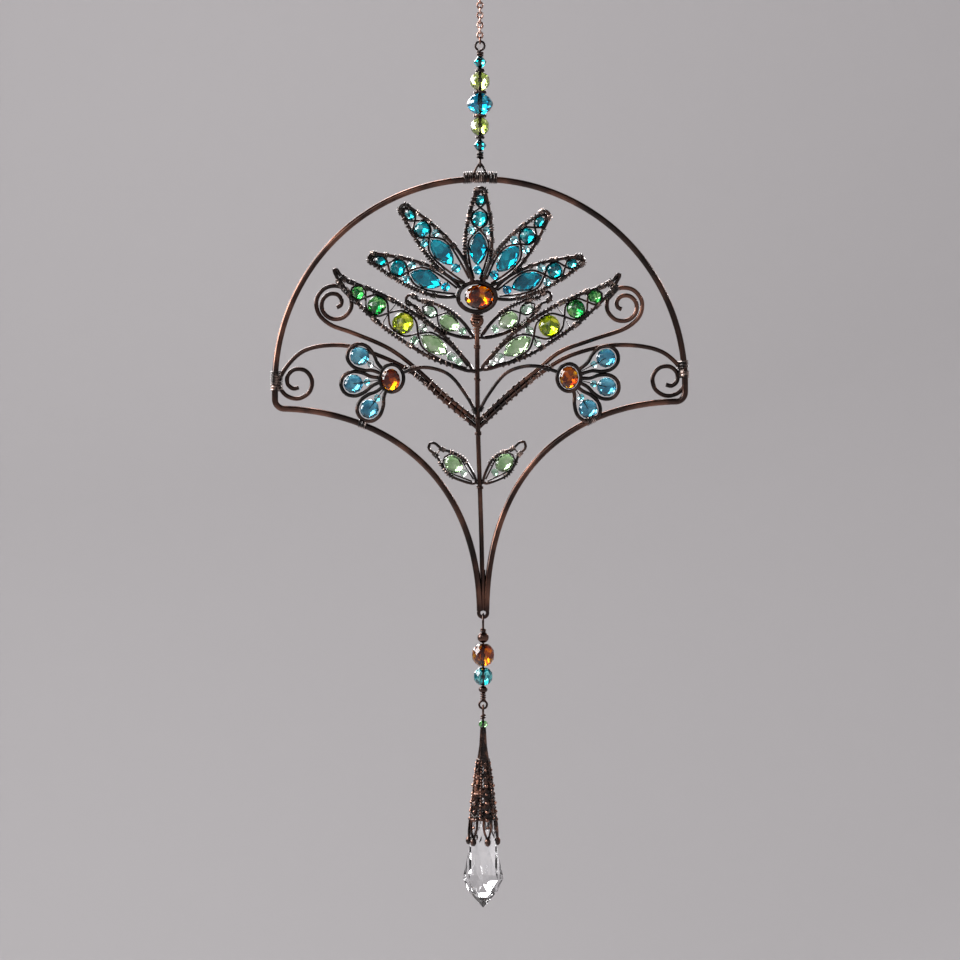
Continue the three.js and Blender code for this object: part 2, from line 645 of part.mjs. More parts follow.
for (const side of ["left", "right"]) {
  const flower = flowers[side];
  const centre = at(...flower.centre, -flowerAhead);
  const ringShape = { around: 10, sides: 4 };
  const parts = [ring(centre, flowerRingHalfWidth, flowerRingHalfHeight, flowerWire, ringShape)];
  flower.loops.forEach((stone, index) => {
    const middle = at(...stone, -flowerAhead);
    const { length, forward, place } = gridAlong(centre, middle);
    const legStart = flowerRingHalfWidth - bite;
    const legHalf = flowerWire * 0.62;
    const half = flowerLoopRadius;
    const loop = [place(legStart, legHalf), place(length - half * 0.9, half * 0.72), place(length, half),
      place(length + half * 0.75, half * 0.7), place(length + half * 1.02, 0),
      place(length + half * 0.75, -half * 0.7), place(length, -half), place(length - half * 0.9, -half * 0.72),
      place(legStart, -legHalf)];
    parts.push(wire(loop, flowerWire, 9, 4));
    const gem = cutStone(middle, flowerStoneSize, flowerStoneSize * 0.97, forward);
    addPiece(`${side}_flower_stone_${index + 1}`, gem, glass("sky"));
  });
  const sign = side === "left" ? -1 : 1;
  const rootX = stemX(flower.stemRoot) + sign * (stemWire / 2 + fitGap + archedWire / 2);
  const ringInnerX = flower.centre[0] - sign * flowerRingHalfWidth * 0.93;
  const ringEdge = at(ringInnerX, flower.centre[1] - 1.8, -flowerAhead);
  const arch = [at(rootX, flower.stemRoot, -bite), at(rootX + sign * 1.9, flower.stemRoot - 4.4, -bite),
    at(rootX + sign * 7.6, flower.stemRoot - 11.4, -flowerAhead * 0.35),
    at(rootX + sign * 13, flower.stemRoot - 13.5, -flowerAhead * 0.8),
    at(rootX + sign * 18, flower.stemRoot - 13.6, -flowerAhead), ringEdge];
  parts.push(wire(arch, archedWire, 6, 4));
  addPiece(`${side}_flower_wire`, fuse(parts), metal());
  const amber = cutStone(centre, flowerCentreLength, flowerCentreWidth, new THREE.Vector3(0, 0, 1));
  addPiece(`${side}_flower_centre_stone`, amber, glass("amber"));
}

// Drop: a wire with two beads hooked into the foot, a pierced metal cap and a crystal

const dropX = footCentreX;
const dropEyeRadius = (dropEyeOuter - dropWire) / 2;
const dropEyeDown = footDepth + dropEyeRadius + (footHole - dropWire) / 2 - fitGap;
const dropParts = [ring(at(dropX, dropEyeDown), dropEyeRadius, dropEyeRadius, dropWire, { edgeOn: true })];
const dropCore = [];
let down = dropEyeDown + dropEyeOuter / 2 + dropNeck;
function coreTo(radius, depth) {
  dropCore.push([radius, at(0, depth).z]);
}
coreTo(0, dropEyeDown + dropEyeRadius);
coreTo(dropWire, dropEyeDown + dropEyeRadius);
coreTo(dropWire, down);
coreTo(dropWire / 2, down);
function addSpacer({ diameter, height }) {
  coreTo(dropWire / 2, down);
  coreTo(diameter / 2, down + height * 0.3);
  coreTo(diameter / 2, down + height * 0.7);
  coreTo(dropWire / 2, down + height);
  down += height;
}
addSpacer(dropSpacer);
for (const shape of dropBeads) {
  const middle = at(0, down + fitGap + shape.height / 2).z;
  addPiece(shape.name, bead(dropX, middle, shape, dropWire + 2 * fitGap), glass(shape.colour));
  down += shape.height + 2 * fitGap;
}
addSpacer(dropLastSpacer);
const dropLoopRadius = (dropLoopOuter - dropWire) / 2;
const dropLoopDown = down + dropLowerNeck + dropLoopOuter / 2;
coreTo(dropWire / 2, dropLoopDown - dropLoopRadius);
coreTo(0, dropLoopDown - dropLoopRadius);
dropParts.push(ring(at(dropX, dropLoopDown), dropLoopRadius, dropLoopRadius, dropWire));
dropParts.push(turned(dropCore, 6).translate(dropX, 0, 0));
addPiece("drop_link_wire", fuse(dropParts), metal());

const capEyeRadius = (capEyeOuter - dropWire) / 2;
const capEyeDown = dropLoopDown + dropLoopRadius - dropWire - hookGap + capEyeRadius;
const capTopDown = capEyeDown + capEyeRadius + capNeck;
const capRimDown = capTopDown + capHeight;
const pocketDown = capRimDown - capPocket;
const capCurve = [[0.5, capTopDown - capNeck], [capTopRadius, capTopDown], [1.9, capTopDown + capHeight * 0.33],
  [3.05, capTopDown + capHeight * 0.58], [3.9, capTopDown + capHeight * 0.82], [capRimRadius, capRimDown]];
const capOutline = [[0, capEyeDown + capEyeRadius], ...capCurve];
const capOuter = capOutline.map(([radius, depth]) => [radius, at(0, depth).z]);
const capInner = [[capRimRadius - capWall, capRimDown], [crystalNeckRadius - capWall, pocketDown],
  [0, pocketDown]];
const capParts = [
  turned([...capOuter, ...capInner.map(([radius, depth]) => [radius, at(0, depth).z])], crystalSides),
  ring(at(0, capEyeDown), capEyeRadius, capEyeRadius, dropWire, { edgeOn: true, around: 10 }),
];
for (let i = 0; i < capPoints; i += 1) {
  const point = new THREE.ConeGeometry(capPointRadius, capPointLength, 4).rotateX(-Math.PI / 2);
  point.scale(1, 0.45, 1).rotateX(-THREE.MathUtils.degToRad(capPointFlare));
  point.translate(0, -capRimRadius - fitGap, at(0, capRimDown + capPointLength / 2 - 4 * bite).z);
  capParts.push(point.rotateZ(THREE.MathUtils.degToRad(capTurn) + (i * 2 * Math.PI) / capPoints));
}
addPiece("crystal_cap", fuse(capParts).translate(dropX, 0, 0), metal());

const crystalTop = pocketDown + fitGap;
const crystalTip = crystalTop + crystalLength;
const crystalShape = [[0, crystalTop], [crystalTopRadius - capWall, crystalTop],
  [crystalNeckRadius - fitGap, capRimDown - fitGap], [crystalRadius * 0.71, capRimDown + capPointLength],
  [crystalRadius, crystalTip - crystalWaist], [0, crystalTip]];
const crystalProfile = crystalShape.map(([radius, depth]) => [radius, at(0, depth).z]);
addPiece("crystal_drop", turned(crystalProfile, crystalSides).translate(dropX, 0, 0), glass("clear"));

export default suncatcher;
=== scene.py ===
# Crystal suncatcher: antiqued copper wire around cut glass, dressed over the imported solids.
from math import cos, hypot, pi, radians, sin, sqrt
from random import Random

import bmesh
import bpy
from mathutils import Matrix, Vector


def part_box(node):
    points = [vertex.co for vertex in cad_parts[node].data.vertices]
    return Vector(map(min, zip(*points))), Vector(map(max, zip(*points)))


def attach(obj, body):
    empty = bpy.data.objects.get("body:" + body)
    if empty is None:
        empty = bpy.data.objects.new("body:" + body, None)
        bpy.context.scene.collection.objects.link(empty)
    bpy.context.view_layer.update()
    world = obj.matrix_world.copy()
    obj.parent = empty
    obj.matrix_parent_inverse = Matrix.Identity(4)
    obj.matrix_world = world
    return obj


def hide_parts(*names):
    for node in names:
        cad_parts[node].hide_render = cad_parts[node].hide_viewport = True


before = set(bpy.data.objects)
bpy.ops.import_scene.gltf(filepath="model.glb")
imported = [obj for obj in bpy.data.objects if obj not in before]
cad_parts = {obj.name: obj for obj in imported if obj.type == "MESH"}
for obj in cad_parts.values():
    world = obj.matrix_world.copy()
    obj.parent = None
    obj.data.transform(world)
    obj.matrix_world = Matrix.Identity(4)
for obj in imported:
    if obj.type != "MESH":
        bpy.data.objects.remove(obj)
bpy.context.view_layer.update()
bpy.ops.object.select_all(action="DESELECT")
print("stage: frame loaded")

mm = 0.001
dice = Random(12)  # small hand-made irregularities

# Shared places in millimetres. Down is measured from the top of the arch, and behind runs to the back.
layout = {
    "archTop": -72.8,
    "stemLean": (-0.95, 1.7, 60, 136),  # where the stem starts, its lean, and from how far to how far down
    "scrollBehind": 2.05,
    "flowerAhead": 2.0,
    "petalAhead": 1.45,
    "sageBehind": 1.35,
}
signOf = {"left": -1, "right": 1}
right, deep, up = Vector((1, 0, 0)), Vector((0, 1, 0)), Vector((0, 0, 1))


# Camera, square to the front

camera = {"lens": 100, "distance": 0.8533, "height": -0.1701}
bpy.ops.object.camera_add(location=(0, -camera["distance"], camera["height"]), rotation=(pi / 2, 0, 0))
bpy.context.object.data.lens = camera["lens"]
bpy.context.object.data.clip_start = 0.01
bpy.context.scene.camera = bpy.context.object


# Routes: lists of points in millimetres

def at(right, down, behind=0.0):
    return Vector((right, behind, layout["archTop"] - down))


def smoothStep(value, low, high):
    share = min(max((value - low) / (high - low), 0), 1)
    return share * share * (3 - 2 * share)


def stemX(down):
    start, lean, low, high = layout["stemLean"]
    return start + lean * smoothStep(down, low, high)


def hermite(points, spans, share):
    a, b, c, d = points
    before, here, after = spans
    leave = ((b - a) / before - (c - a) / (before + here) + (c - b) / here) * here
    reach = ((c - b) / here - (d - b) / (here + after) + (d - c) / after) * here
    square, cube = share ** 2, share ** 3
    return ((2 * cube - 3 * square + 1) * b + (cube - 2 * square + share) * leave
            + (3 * square - 2 * cube) * c + (cube - square) * reach)


def smoothLine(points, step=0.5):
    # A smooth line through a few points.
    padded = [2 * points[0] - points[1], *points, 2 * points[-1] - points[-2]]
    line = []
    for index in range(len(points) - 1):
        four = padded[index:index + 4]
        spans = [max((b - a).length, 1e-4) ** 0.5 for a, b in zip(four, four[1:])]
        count = max(2, round((four[2] - four[1]).length / step))
        line += [hermite(four, spans, i / count) for i in range(count)]
    return line + [points[-1].copy()]


def bezierLine(a, b, c, d, count=24):
    line = []
    for i in range(count + 1):
        t = i / count
        line.append((1 - t) ** 3 * a + 3 * t * (1 - t) ** 2 * b + 3 * t * t * (1 - t) * c + t ** 3 * d)
    return line


def joined(*lines):
    whole = list(lines[0])
    for line in lines[1:]:
        whole += line[1:]
    return whole


def thereAndBack(line, other):
    return joined(line, list(reversed(other)))


def lengthsOf(line):
    lengths = [0.0]
    for a, b in zip(line, line[1:]):
        lengths.append(lengths[-1] + (b - a).length)
    return lengths


def spotOn(line, lengths, distance):
    # The point and direction at a distance along a line.
    distance = min(max(distance, 0), lengths[-1])
    low, high = 0, len(lengths) - 1
    while high - low > 1:
        middle = (low + high) // 2
        low, high = (middle, high) if lengths[middle] <= distance else (low, middle)
    span = max(lengths[high] - lengths[low], 1e-9)
    ahead = line[high] - line[low]
    return line[low] + ahead * ((distance - lengths[low]) / span), ahead.normalized()


def coilOn(line, start, end, turns, coreRadius, wire, partner=None):
    # A thin wire wound around a line, or around it and a partner that runs beside it.
    lengths = lengthsOf(line)
    steps = max(8, round(turns * (10 if partner is None else 18)))
    phase = dice.uniform(0, 2 * pi)
    points = []
    for i in range(steps + 1):
        share = i / steps
        spot, ahead = spotOn(line, lengths, start + (end - start) * share)
        back = deep if abs(ahead.y) < 0.8 else right
        back = (back - ahead * back.dot(ahead)).normalized()
        side = ahead.cross(back)
        angle = phase + 2 * pi * turns * share
        radius = coreRadius + wire / 2 + dice.uniform(0, wire * 0.12)
        offset = (back * cos(angle) + side * sin(angle)) * radius
        if partner is not None:
            other = partner - line[0]
            offset += other * (0.5 + 0.5 * max(-1, min(1, 2.2 * offset.normalized().dot(other.normalized()))))
        points.append(spot + offset)
    return points


def woundRun(line, start, end, turns, coreRadius, wire, partner=None):
    # The same coil as a run for wirePiece.
    return coilOn(line, start, end, turns, coreRadius, wire, partner), wire, False


def ringLine(centre, halfWidth, halfHeight, across=right, along=up, count=48):
    turn = [2 * pi * i / count for i in range(count)]
    return [centre + across * halfWidth * cos(angle) + along * halfHeight * sin(angle) for angle in turn]


def onTable(table, place):
    # The size at a place, read between the (place, size) pairs of a table.
    for (before, low), (after, high) in zip(table, table[1:]):
        if place <= after:
            return low + (high - low) * (place - before) / (after - before)
    return table[-1][1]


def gridAlong(base, tip):
    # How long a petal is, its direction, and a way to find places on it by distance back from its tip.
    ahead = (tip - base).normalized()
    side = Vector((-ahead.z, 0, ahead.x))

    def place(fromTip, left, behind=0.0):
        return tip - ahead * fromTip + side * left + Vector((0, behind, 0))

    return (tip - base).length, ahead, place


# Mesh helpers

def only(piece):
    bpy.ops.object.select_all(action="DESELECT")
    piece.select_set(True)
    bpy.context.view_layer.objects.active = piece


def selectWhere(piece, test):
    # In edit mode, selects only the vertices whose place passes the test.
    bpy.ops.mesh.select_mode(type="VERT")
    bpy.ops.mesh.select_all(action="DESELECT")
    mesh = bmesh.from_edit_mesh(piece.data)
    for vertex in mesh.verts:
        vertex.select = test(vertex.co)
    mesh.select_flush(True)
    bmesh.update_edit_mesh(piece.data)


def closeUp(piece, smooth=True, merge=1e-6):
    only(piece)
    bpy.ops.object.mode_set(mode="EDIT")
    bpy.ops.mesh.select_all(action="SELECT")
    bpy.ops.mesh.remove_doubles(threshold=merge)
    bpy.ops.mesh.normals_make_consistent(inside=False)
    bpy.ops.object.mode_set(mode="OBJECT")
    if smooth:
        bpy.ops.object.shade_smooth_by_angle(angle=radians(40))
    else:
        bpy.ops.object.shade_flat()
    return piece


def wirePiece(name, runs, roundness=3):
    # Wires as bevelled curves turned into one mesh. A run is (points, thickness, closed).
    curve = bpy.data.curves.new(name, "CURVE")
    curve.dimensions = "3D"
    curve.bevel_depth = 1.0
    curve.bevel_resolution = roundness
    curve.use_fill_caps = True
    for points, thickness, closed in runs:
        spline = curve.splines.new("POLY")
        spline.points.add(len(points) - 1)
        for spot, point in zip(spline.points, points):
            spot.co = (*(point * mm), 1)
            spot.radius = thickness / 2 * mm
        spline.use_cyclic_u = closed
    wire = bpy.data.objects.new(name, curve)
    bpy.context.collection.objects.link(wire)
    only(wire)
    bpy.ops.object.convert(target="MESH")
    return closeUp(bpy.context.object)


def joinPieces(name, pieces):
    bpy.ops.object.select_all(action="DESELECT")
    for piece in pieces:
        piece.select_set(True)
    bpy.context.view_layer.objects.active = pieces[0]
    bpy.ops.object.join()
    whole = bpy.context.object
    whole.name = name
    whole.data.name = name
    return whole


def turnedPiece(name, profile, sides, x=0.0, smooth=True):
    # A solid spun about an upright axis from (radius, height) pairs, made by extruding a circle.
    radius, height = profile[0]
    start = max(radius, 1e-3)
    bpy.ops.mesh.primitive_circle_add(vertices=sides, radius=start * mm, location=(x * mm, 0, height * mm),
                                      fill_type="NGON")
    piece = bpy.context.object
    bpy.ops.object.transform_apply(location=True)
    bpy.ops.object.mode_set(mode="EDIT")
    bpy.ops.mesh.select_all(action="SELECT")
    last = start
    for radius, nextHeight in profile[1:]:
        radius = max(radius, 1e-3)
        bpy.ops.mesh.extrude_region_move(TRANSFORM_OT_translate={"value": (0, 0, (nextHeight - height) * mm)})
        ratio = radius / last
        bpy.ops.transform.resize(value=(ratio, ratio, 1), center_override=(x * mm, 0, nextHeight * mm))
        last, height = radius, nextHeight
    bpy.ops.object.mode_set(mode="OBJECT")
    piece.name = name
    piece.data.name = name
    return closeUp(piece, smooth)


def copyOf(model, name, matrix):
    # A copy of a modelled shape with its own mesh, placed in its mesh.
    copy = model.copy()
    copy.data = model.data.copy()
    copy.name = name
    copy.data.name = name
    bpy.context.collection.objects.link(copy)
    copy.data.transform(matrix)
    return copy


def stonePlace(centre, length, depth, width, ahead):
    # A matrix that sets a shape of size one facing the front, with its length along a direction.
    turn = Matrix(((ahead.x, 0, -ahead.z), (0, 1, 0), (ahead.z, 0, ahead.x))).to_4x4()
    size = Matrix.Diagonal((length * mm, depth * mm, width * mm, 1))
    return Matrix.Translation(centre * mm) @ turn @ size


# Materials

def newMaterial(name):
    material = bpy.data.materials.new(name)
    material.use_nodes = True
    nodes = material.node_tree.nodes
    return material, nodes, material.node_tree.links, nodes["Principled BSDF"]


def noiseOn(nodes, links, scale, detail=3.0):
    place = nodes.new("ShaderNodeTexCoord")
    grain = nodes.new("ShaderNodeTexNoise")
    grain.inputs["Scale"].default_value = scale
    grain.inputs["Detail"].default_value = detail
    links.new(place.outputs["Object"], grain.inputs["Vector"])
    return grain.outputs["Fac"]


def rampOf(nodes, links, source, stops):
    ramp = nodes.new("ShaderNodeValToRGB")
    links.new(source, ramp.inputs["Fac"])
    while len(ramp.color_ramp.elements) < len(stops):
        ramp.color_ramp.elements.new(0.5)
    for element, (position, colour) in zip(ramp.color_ramp.elements, stops):
        element.position = position
        element.color = (*colour, 1)
    return ramp.outputs["Color"]


def copperMaterial(name, look):
    # Antiqued copper: bright where it is rubbed, brown patina in patches and in the crevices.
    material, nodes, links, shader = newMaterial(name)
    shader.inputs["Metallic"].default_value = 1.0
    shader.inputs["Specular Tint"].default_value = (*look["edge"], 1)
    shader.inputs["Coat Weight"].default_value = look["coat"]
    shader.inputs["Coat Roughness"].default_value = 0.08
    patches = noiseOn(nodes, links, look["patchScale"])
    stops = [(0.36, look["dark"]), (0.5, look["middle"]), (0.66, look["bright"])]
    copper = rampOf(nodes, links, patches, stops)
    crevice = nodes.new("ShaderNodeAmbientOcclusion")
    crevice.samples = 6
    crevice.inputs["Distance"].default_value = look["creviceReach"]
    recess = rampOf(nodes, links, crevice.outputs["AO"], [(0.25, look["crevice"]), (0.85, (1, 1, 1))])
    tint = nodes.new("ShaderNodeMix")
    tint.data_type = "RGBA"
    tint.blend_type = "MULTIPLY"
    tint.inputs["Factor"].default_value = 1.0
    links.new(copper, tint.inputs["A"])
    links.new(recess, tint.inputs["B"])
    links.new(tint.outputs["Result"], shader.inputs["Base Color"])
    fine = noiseOn(nodes, links, look["grainScale"], 5)
    rough = nodes.new("ShaderNodeMapRange")
    rough.inputs["To Min"].default_value, rough.inputs["To Max"].default_value = look["roughness"]
    links.new(fine, rough.inputs["Value"])
    links.new(rough.outputs["Result"], shader.inputs["Roughness"])
    bump = nodes.new("ShaderNodeBump")
    bump.inputs["Strength"].default_value = look["bump"]
    bump.inputs["Distance"].default_value = 0.0001
    links.new(fine, bump.inputs["Height"])
    links.new(bump.outputs["Normal"], shader.inputs["Normal"])
    return material


def glassMaterial(name, look):
    # Cut glass: see-through. Its colour varies at random in soft swirls, with painted light and dark facets
    # laid over it where real facets would break up the light.
    material, nodes, links, shader = newMaterial(name)
    shader.inputs["Transmission Weight"].default_value = 1.0
    shader.inputs["IOR"].default_value = look.get("ior", 1.6)
    shader.inputs["Roughness"].default_value = look.get("roughness", 0.0)
    place = nodes.new("ShaderNodeTexCoord")
    # Painted facet light: cells of dark and bright colour stand in for the sparkle that cut facets give.
    paintedFacetLight = nodes.new("ShaderNodeTexVoronoi")
    paintedFacetLight.inputs["Scale"].default_value = look.get("paintedFacetScale", 760)
    links.new(place.outputs["Object"], paintedFacetLight.inputs["Vector"])
    split = nodes.new("ShaderNodeSeparateColor")
    links.new(paintedFacetLight.outputs["Color"], split.inputs["Color"])
    # The cut share is how much of the colour is painted facet light; the rest is the swirl's own colour
    # zoning.
    blend = nodes.new("ShaderNodeMix")
    blend.inputs["Factor"].default_value = look.get("cut", 0.5)
    links.new(noiseOn(nodes, links, look.get("swirlScale", 300)), blend.inputs["A"])
    links.new(split.outputs["Red"], blend.inputs["B"])
    stops = [(0.30, look["deep"]), (0.52, look["middle"]), (0.74, look["pale"])]
    links.new(rampOf(nodes, links, blend.outputs["Result"], stops), shader.inputs["Base Color"])
    bump = nodes.new("ShaderNodeBump")
    bump.inputs["Strength"].default_value = look.get("bump", 0.06)
    bump.inputs["Distance"].default_value = 0.0002
    links.new(noiseOn(nodes, links, look.get("wornScale", 700)), bump.inputs["Height"])
    links.new(bump.outputs["Normal"], shader.inputs["Normal"])
    return material


copperLooks = {
    "frameCopper": {
        "dark": (0.014, 0.007, 0.005), "middle": (0.050, 0.022, 0.015), "bright": (0.20, 0.090, 0.058),
        "edge": (0.55, 0.45, 0.42), "crevice": (0.25, 0.20, 0.17), "creviceReach": 0.0012, "coat": 0.5,
        "patchScale": 70, "grainScale": 2600, "roughness": (0.15, 0.26), "bump": 0.06},
    "thinCopper": {
        "dark": (0.005, 0.003, 0.002), "middle": (0.014, 0.008, 0.006), "bright": (0.08, 0.042, 0.031),
        "edge": (0.50, 0.42, 0.40), "crevice": (0.20, 0.15, 0.12), "creviceReach": 0.0009, "coat": 0.6,
        "patchScale": 160, "grainScale": 3200, "roughness": (0.20, 0.34), "bump": 0.06},
    "coilCopper": {
        "dark": (0.008, 0.005, 0.004), "middle": (0.04, 0.024, 0.018), "bright": (0.55, 0.40, 0.34),
        "edge": (0.80, 0.72, 0.70), "crevice": (0.10, 0.07, 0.06), "creviceReach": 0.0007, "coat": 1.0,
        "patchScale": 420, "grainScale": 3200, "roughness": (0.12, 0.22), "bump": 0.05},
    "chainCopper": {
        "dark": (0.14, 0.065, 0.045), "middle": (0.40, 0.21, 0.155), "bright": (0.82, 0.56, 0.47),
        "edge": (0.8, 0.7, 0.66), "crevice": (0.25, 0.17, 0.14), "creviceReach": 0.0009, "coat": 0.5,
        "patchScale": 330, "grainScale": 3200, "roughness": (0.16, 0.30), "bump": 0.08},
    "castCopper": {
        "dark": (0.007, 0.004, 0.003), "middle": (0.026, 0.012, 0.008), "bright": (0.22, 0.10, 0.065),
        "edge": (0.6, 0.5, 0.46), "crevice": (0.10, 0.07, 0.055), "creviceReach": 0.0014, "coat": 0.7,
        "patchScale": 240, "grainScale": 2400, "roughness": (0.22, 0.36), "bump": 0.15},
    "dotCopper": {
        "dark": (0.05, 0.022, 0.015), "middle": (0.17, 0.075, 0.048), "bright": (0.60, 0.30, 0.20),
        "edge": (0.9, 0.8, 0.76), "crevice": (0.25, 0.18, 0.15), "creviceReach": 0.0006, "coat": 0.8,
        "patchScale": 420, "grainScale": 2400, "roughness": (0.10, 0.18), "bump": 0.03},
}
# Each look's cut share and facet scale set how strong and how fine its painted facet light is.
glassLooks = {
    "tealGlass": {
        "deep": (0.0, 0.10, 0.14), "middle": (0.0, 0.50, 0.60), "pale": (0.30, 1.0, 1.0), "cut": 0.65},
    "aquaGlass": {
        "deep": (0.0, 0.13, 0.30), "middle": (0.0, 0.46, 0.76), "pale": (0.30, 0.95, 1.0), "cut": 0.6},
    "blueGlass": {
        "deep": (0.0, 0.09, 0.15), "middle": (0.0, 0.31, 0.44), "pale": (0.02, 0.78, 0.97), "cut": 0.35,
        "paintedFacetScale": 380, "swirlScale": 190},
    "skyGlass": {
        "deep": (0.02, 0.17, 0.30), "middle": (0.09, 0.44, 0.64), "pale": (0.42, 0.90, 1.0), "cut": 0.3,
        "paintedFacetScale": 420, "swirlScale": 230},
    "limeGlass": {
        "deep": (0.05, 0.10, 0.0), "middle": (0.40, 0.66, 0.0), "pale": (1.0, 1.0, 0.10),
        "cut": 0.85},
    "paleLimeGlass": {
        "deep": (0.24, 0.38, 0.02), "middle": (0.70, 0.92, 0.20), "pale": (1.0, 1.0, 0.66), "cut": 0.65},
    "greenGlass": {
        "deep": (0.0, 0.045, 0.006), "middle": (0.02, 0.34, 0.04), "pale": (0.45, 0.97, 0.34), "cut": 0.75},
    "sageGlass": {
        "deep": (0.22, 0.47, 0.17), "middle": (0.48, 0.76, 0.38), "pale": (0.92, 1.0, 0.84), "cut": 0.15,
        "swirlScale": 200},
    "amberGlass": {
        "deep": (0.045, 0.003, 0.0), "middle": (0.48, 0.045, 0.0), "pale": (1.0, 0.44, 0.0), "cut": 0.8,
        "paintedFacetScale": 560},
    "clearGlass": {
        "deep": (0.93, 0.94, 0.96), "middle": (0.98, 0.98, 0.99), "pale": (1, 1, 1), "ior": 1.6,
        "bump": 0.0},
    "iceGlass": {
        "deep": (0.04, 0.42, 0.52), "middle": (0.32, 0.84, 0.92), "pale": (0.96, 1.0, 1.0), "cut": 0.75},
    "seedGlass": {
        "deep": (0.05, 0.40, 0.05), "middle": (0.36, 0.92, 0.30), "pale": (0.90, 1.0, 0.82), "cut": 0.75},
    "mintGlass": {
        "deep": (0.20, 0.42, 0.26), "middle": (0.66, 0.88, 0.68), "pale": (1.0, 1.0, 1.0), "cut": 0.75},
}
materials = {name: copperMaterial(name, look) for name, look in copperLooks.items()}
materials.update({name: glassMaterial(name, look) for name, look in glassLooks.items()})
slotNames = {"tealGlass": "teal_glass", "aquaGlass": "aqua_glass", "blueGlass": "blue_glass",
             "skyGlass": "sky_glass", "limeGlass": "lime_glass", "greenGlass": "green_glass",
             "sageGlass": "sage_glass", "amberGlass": "amber_glass", "clearGlass": "clear_crystal",
             "mintGlass": "sage_glass", "paleLimeGlass": "lime_glass", "iceGlass": "sky_glass",
             "seedGlass": "green_glass"}


def dress(piece, look, *nodes):
    # Gives a finished piece its material, and hides the imported parts it stands in for.
    piece.data.materials.clear()
    piece.data.materials.append(materials[look])
    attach(piece, "root")
    slotNames.get(look, "antique_copper")
    if nodes:
        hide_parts(*nodes)
    return piece


print("stage: materials made")


# Cut shapes of size one, modelled once and copied for each stone

def ballShape(name, segments, rings, pole):
    turns = {"front": (pi / 2, 0, 0), "side": (0, pi / 2, 0), "up": (0, 0, 0)}
    bpy.ops.mesh.primitive_uv_sphere_add(segments=segments, ring_count=rings, radius=0.5,
                                         rotation=turns[pole])
    shape = bpy.context.object
    bpy.ops.object.transform_apply(rotation=True)
    shape.name = name
    bpy.ops.object.mode_set(mode="EDIT")
    return shape


def twistRings(shape, axis, rings, segments):
    # Turns every second ring by half a facet, so that the bands become triangles.
    number = "XYZ".index(axis)
    for ring in range(1, rings, 2):
        height = 0.5 * cos(pi * ring / rings)
        selectWhere(shape, lambda co: abs(co[number] - height) < 0.01)
        bpy.ops.transform.rotate(value=pi / segments, orient_axis=axis, center_override=(0, 0, 0))


def cutAway(point, normal):
    bpy.ops.mesh.select_all(action="SELECT")
    bpy.ops.mesh.bisect(plane_co=point, plane_no=normal, use_fill=True, clear_outer=True)


def facet(shape, whole=False):
    # Triangular facets, and a size of one across and up (and deep, for a bead).
    places = [vertex.co for vertex in bmesh.from_edit_mesh(shape.data).verts]
    spans = [max(co[axis] for co in places) - min(co[axis] for co in places) for axis in range(3)]
    bpy.ops.mesh.select_all(action="SELECT")
    bpy.ops.transform.resize(value=(1 / spans[0], 1 / spans[1] if whole else 1, 1 / spans[2]),
                             center_override=(0, 0, 0))
    bpy.ops.mesh.quads_convert_to_tris(quad_method="SHORTEST_DIAGONAL")
    bpy.ops.object.mode_set(mode="OBJECT")
    closeUp(shape, smooth=False, merge=1e-5)
    shape.hide_render = True
    return shape


def ovalCut(name, segments=14, rings=8, table=-0.40):
    shape = ballShape(name, segments, rings, "front")
    twistRings(shape, "Y", rings, segments)
    cutAway((0, table, 0), (0, -1, 0))
    return facet(shape)


def navetteCut(name, segments=10, rings=10, table=-0.27):
    shape = ballShape(name, segments, rings, "side")
    for ring in range(1, rings):  # draws the outline in to two points
        along = 0.5 * cos(pi * ring / rings)
        selectWhere(shape, lambda co: abs(co.x - along) < 0.005)
        pull = sqrt(max(1 - (2 * along) ** 2, 0)) ** 0.6
        bpy.ops.transform.resize(value=(1, pull, pull), center_override=(along, 0, 0))
    twistRings(shape, "X", rings, segments)
    cutAway((0, table, 0), (0, -1, 0))
    return facet(shape)


def beadCut(name, segments=9, rings=7, flat=0.45):
    shape = ballShape(name, segments, rings, "up")
    twistRings(shape, "Z", rings, segments)
    for side in (1, -1):
        cutAway((0, 0, side * flat), (0, 0, side))
    return facet(shape, whole=True)


def turnedCut(name, upper, sides):
    # A bead with flat facets all round, from the upper half of its outline.
    profile = upper + [(radius, -height) for radius, height in reversed(upper)]
    shape = turnedPiece(name, [(radius / mm, height / mm) for radius, height in profile], sides, smooth=False)
    shape.hide_render = True
    return shape


cuts = {
    "oval": ovalCut("ovalShape"),
    "round": ovalCut("roundShape", 12, 8, -0.42),
    "navette": navetteCut("navetteShape"),
    "bead": beadCut("beadShape", 10, 8),
    "tiny": beadCut("tinyShape", 7, 5, 0.42),
    "bicone": turnedCut("biconeShape", [(0.12, 0.5), (0.30, 0.32), (0.5, 0.04)], 8),
    "rondelle": turnedCut("rondelleShape", [(0.2, 0.5), (0.36, 0.36), (0.47, 0.15), (0.5, 0.03)], 12),
}
print("stage: cut shapes made")


def stone(name, cut, look, centre, length, width, ahead, depth, *nodes):
    piece = copyOf(cuts[cut], name, stonePlace(centre, length, depth, width, ahead))
    piece.hide_render = False
    return dress(piece, look, *nodes)


def beadInBox(name, node, cut, look, x=0.0):
    # A bead that fills the box of its node.
    low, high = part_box(node)
    size = (high - low) / mm
    width = max(size.x, size.y)
    place = Matrix.Translation(Vector((x, 0, (low.z + high.z) / 2 / mm)) * mm)
    piece = copyOf(cuts[cut], name, place @ Matrix.Diagonal((width * mm, width * mm, size.z * mm, 1)))
    piece.hide_render = False
    dress(piece, look, node)


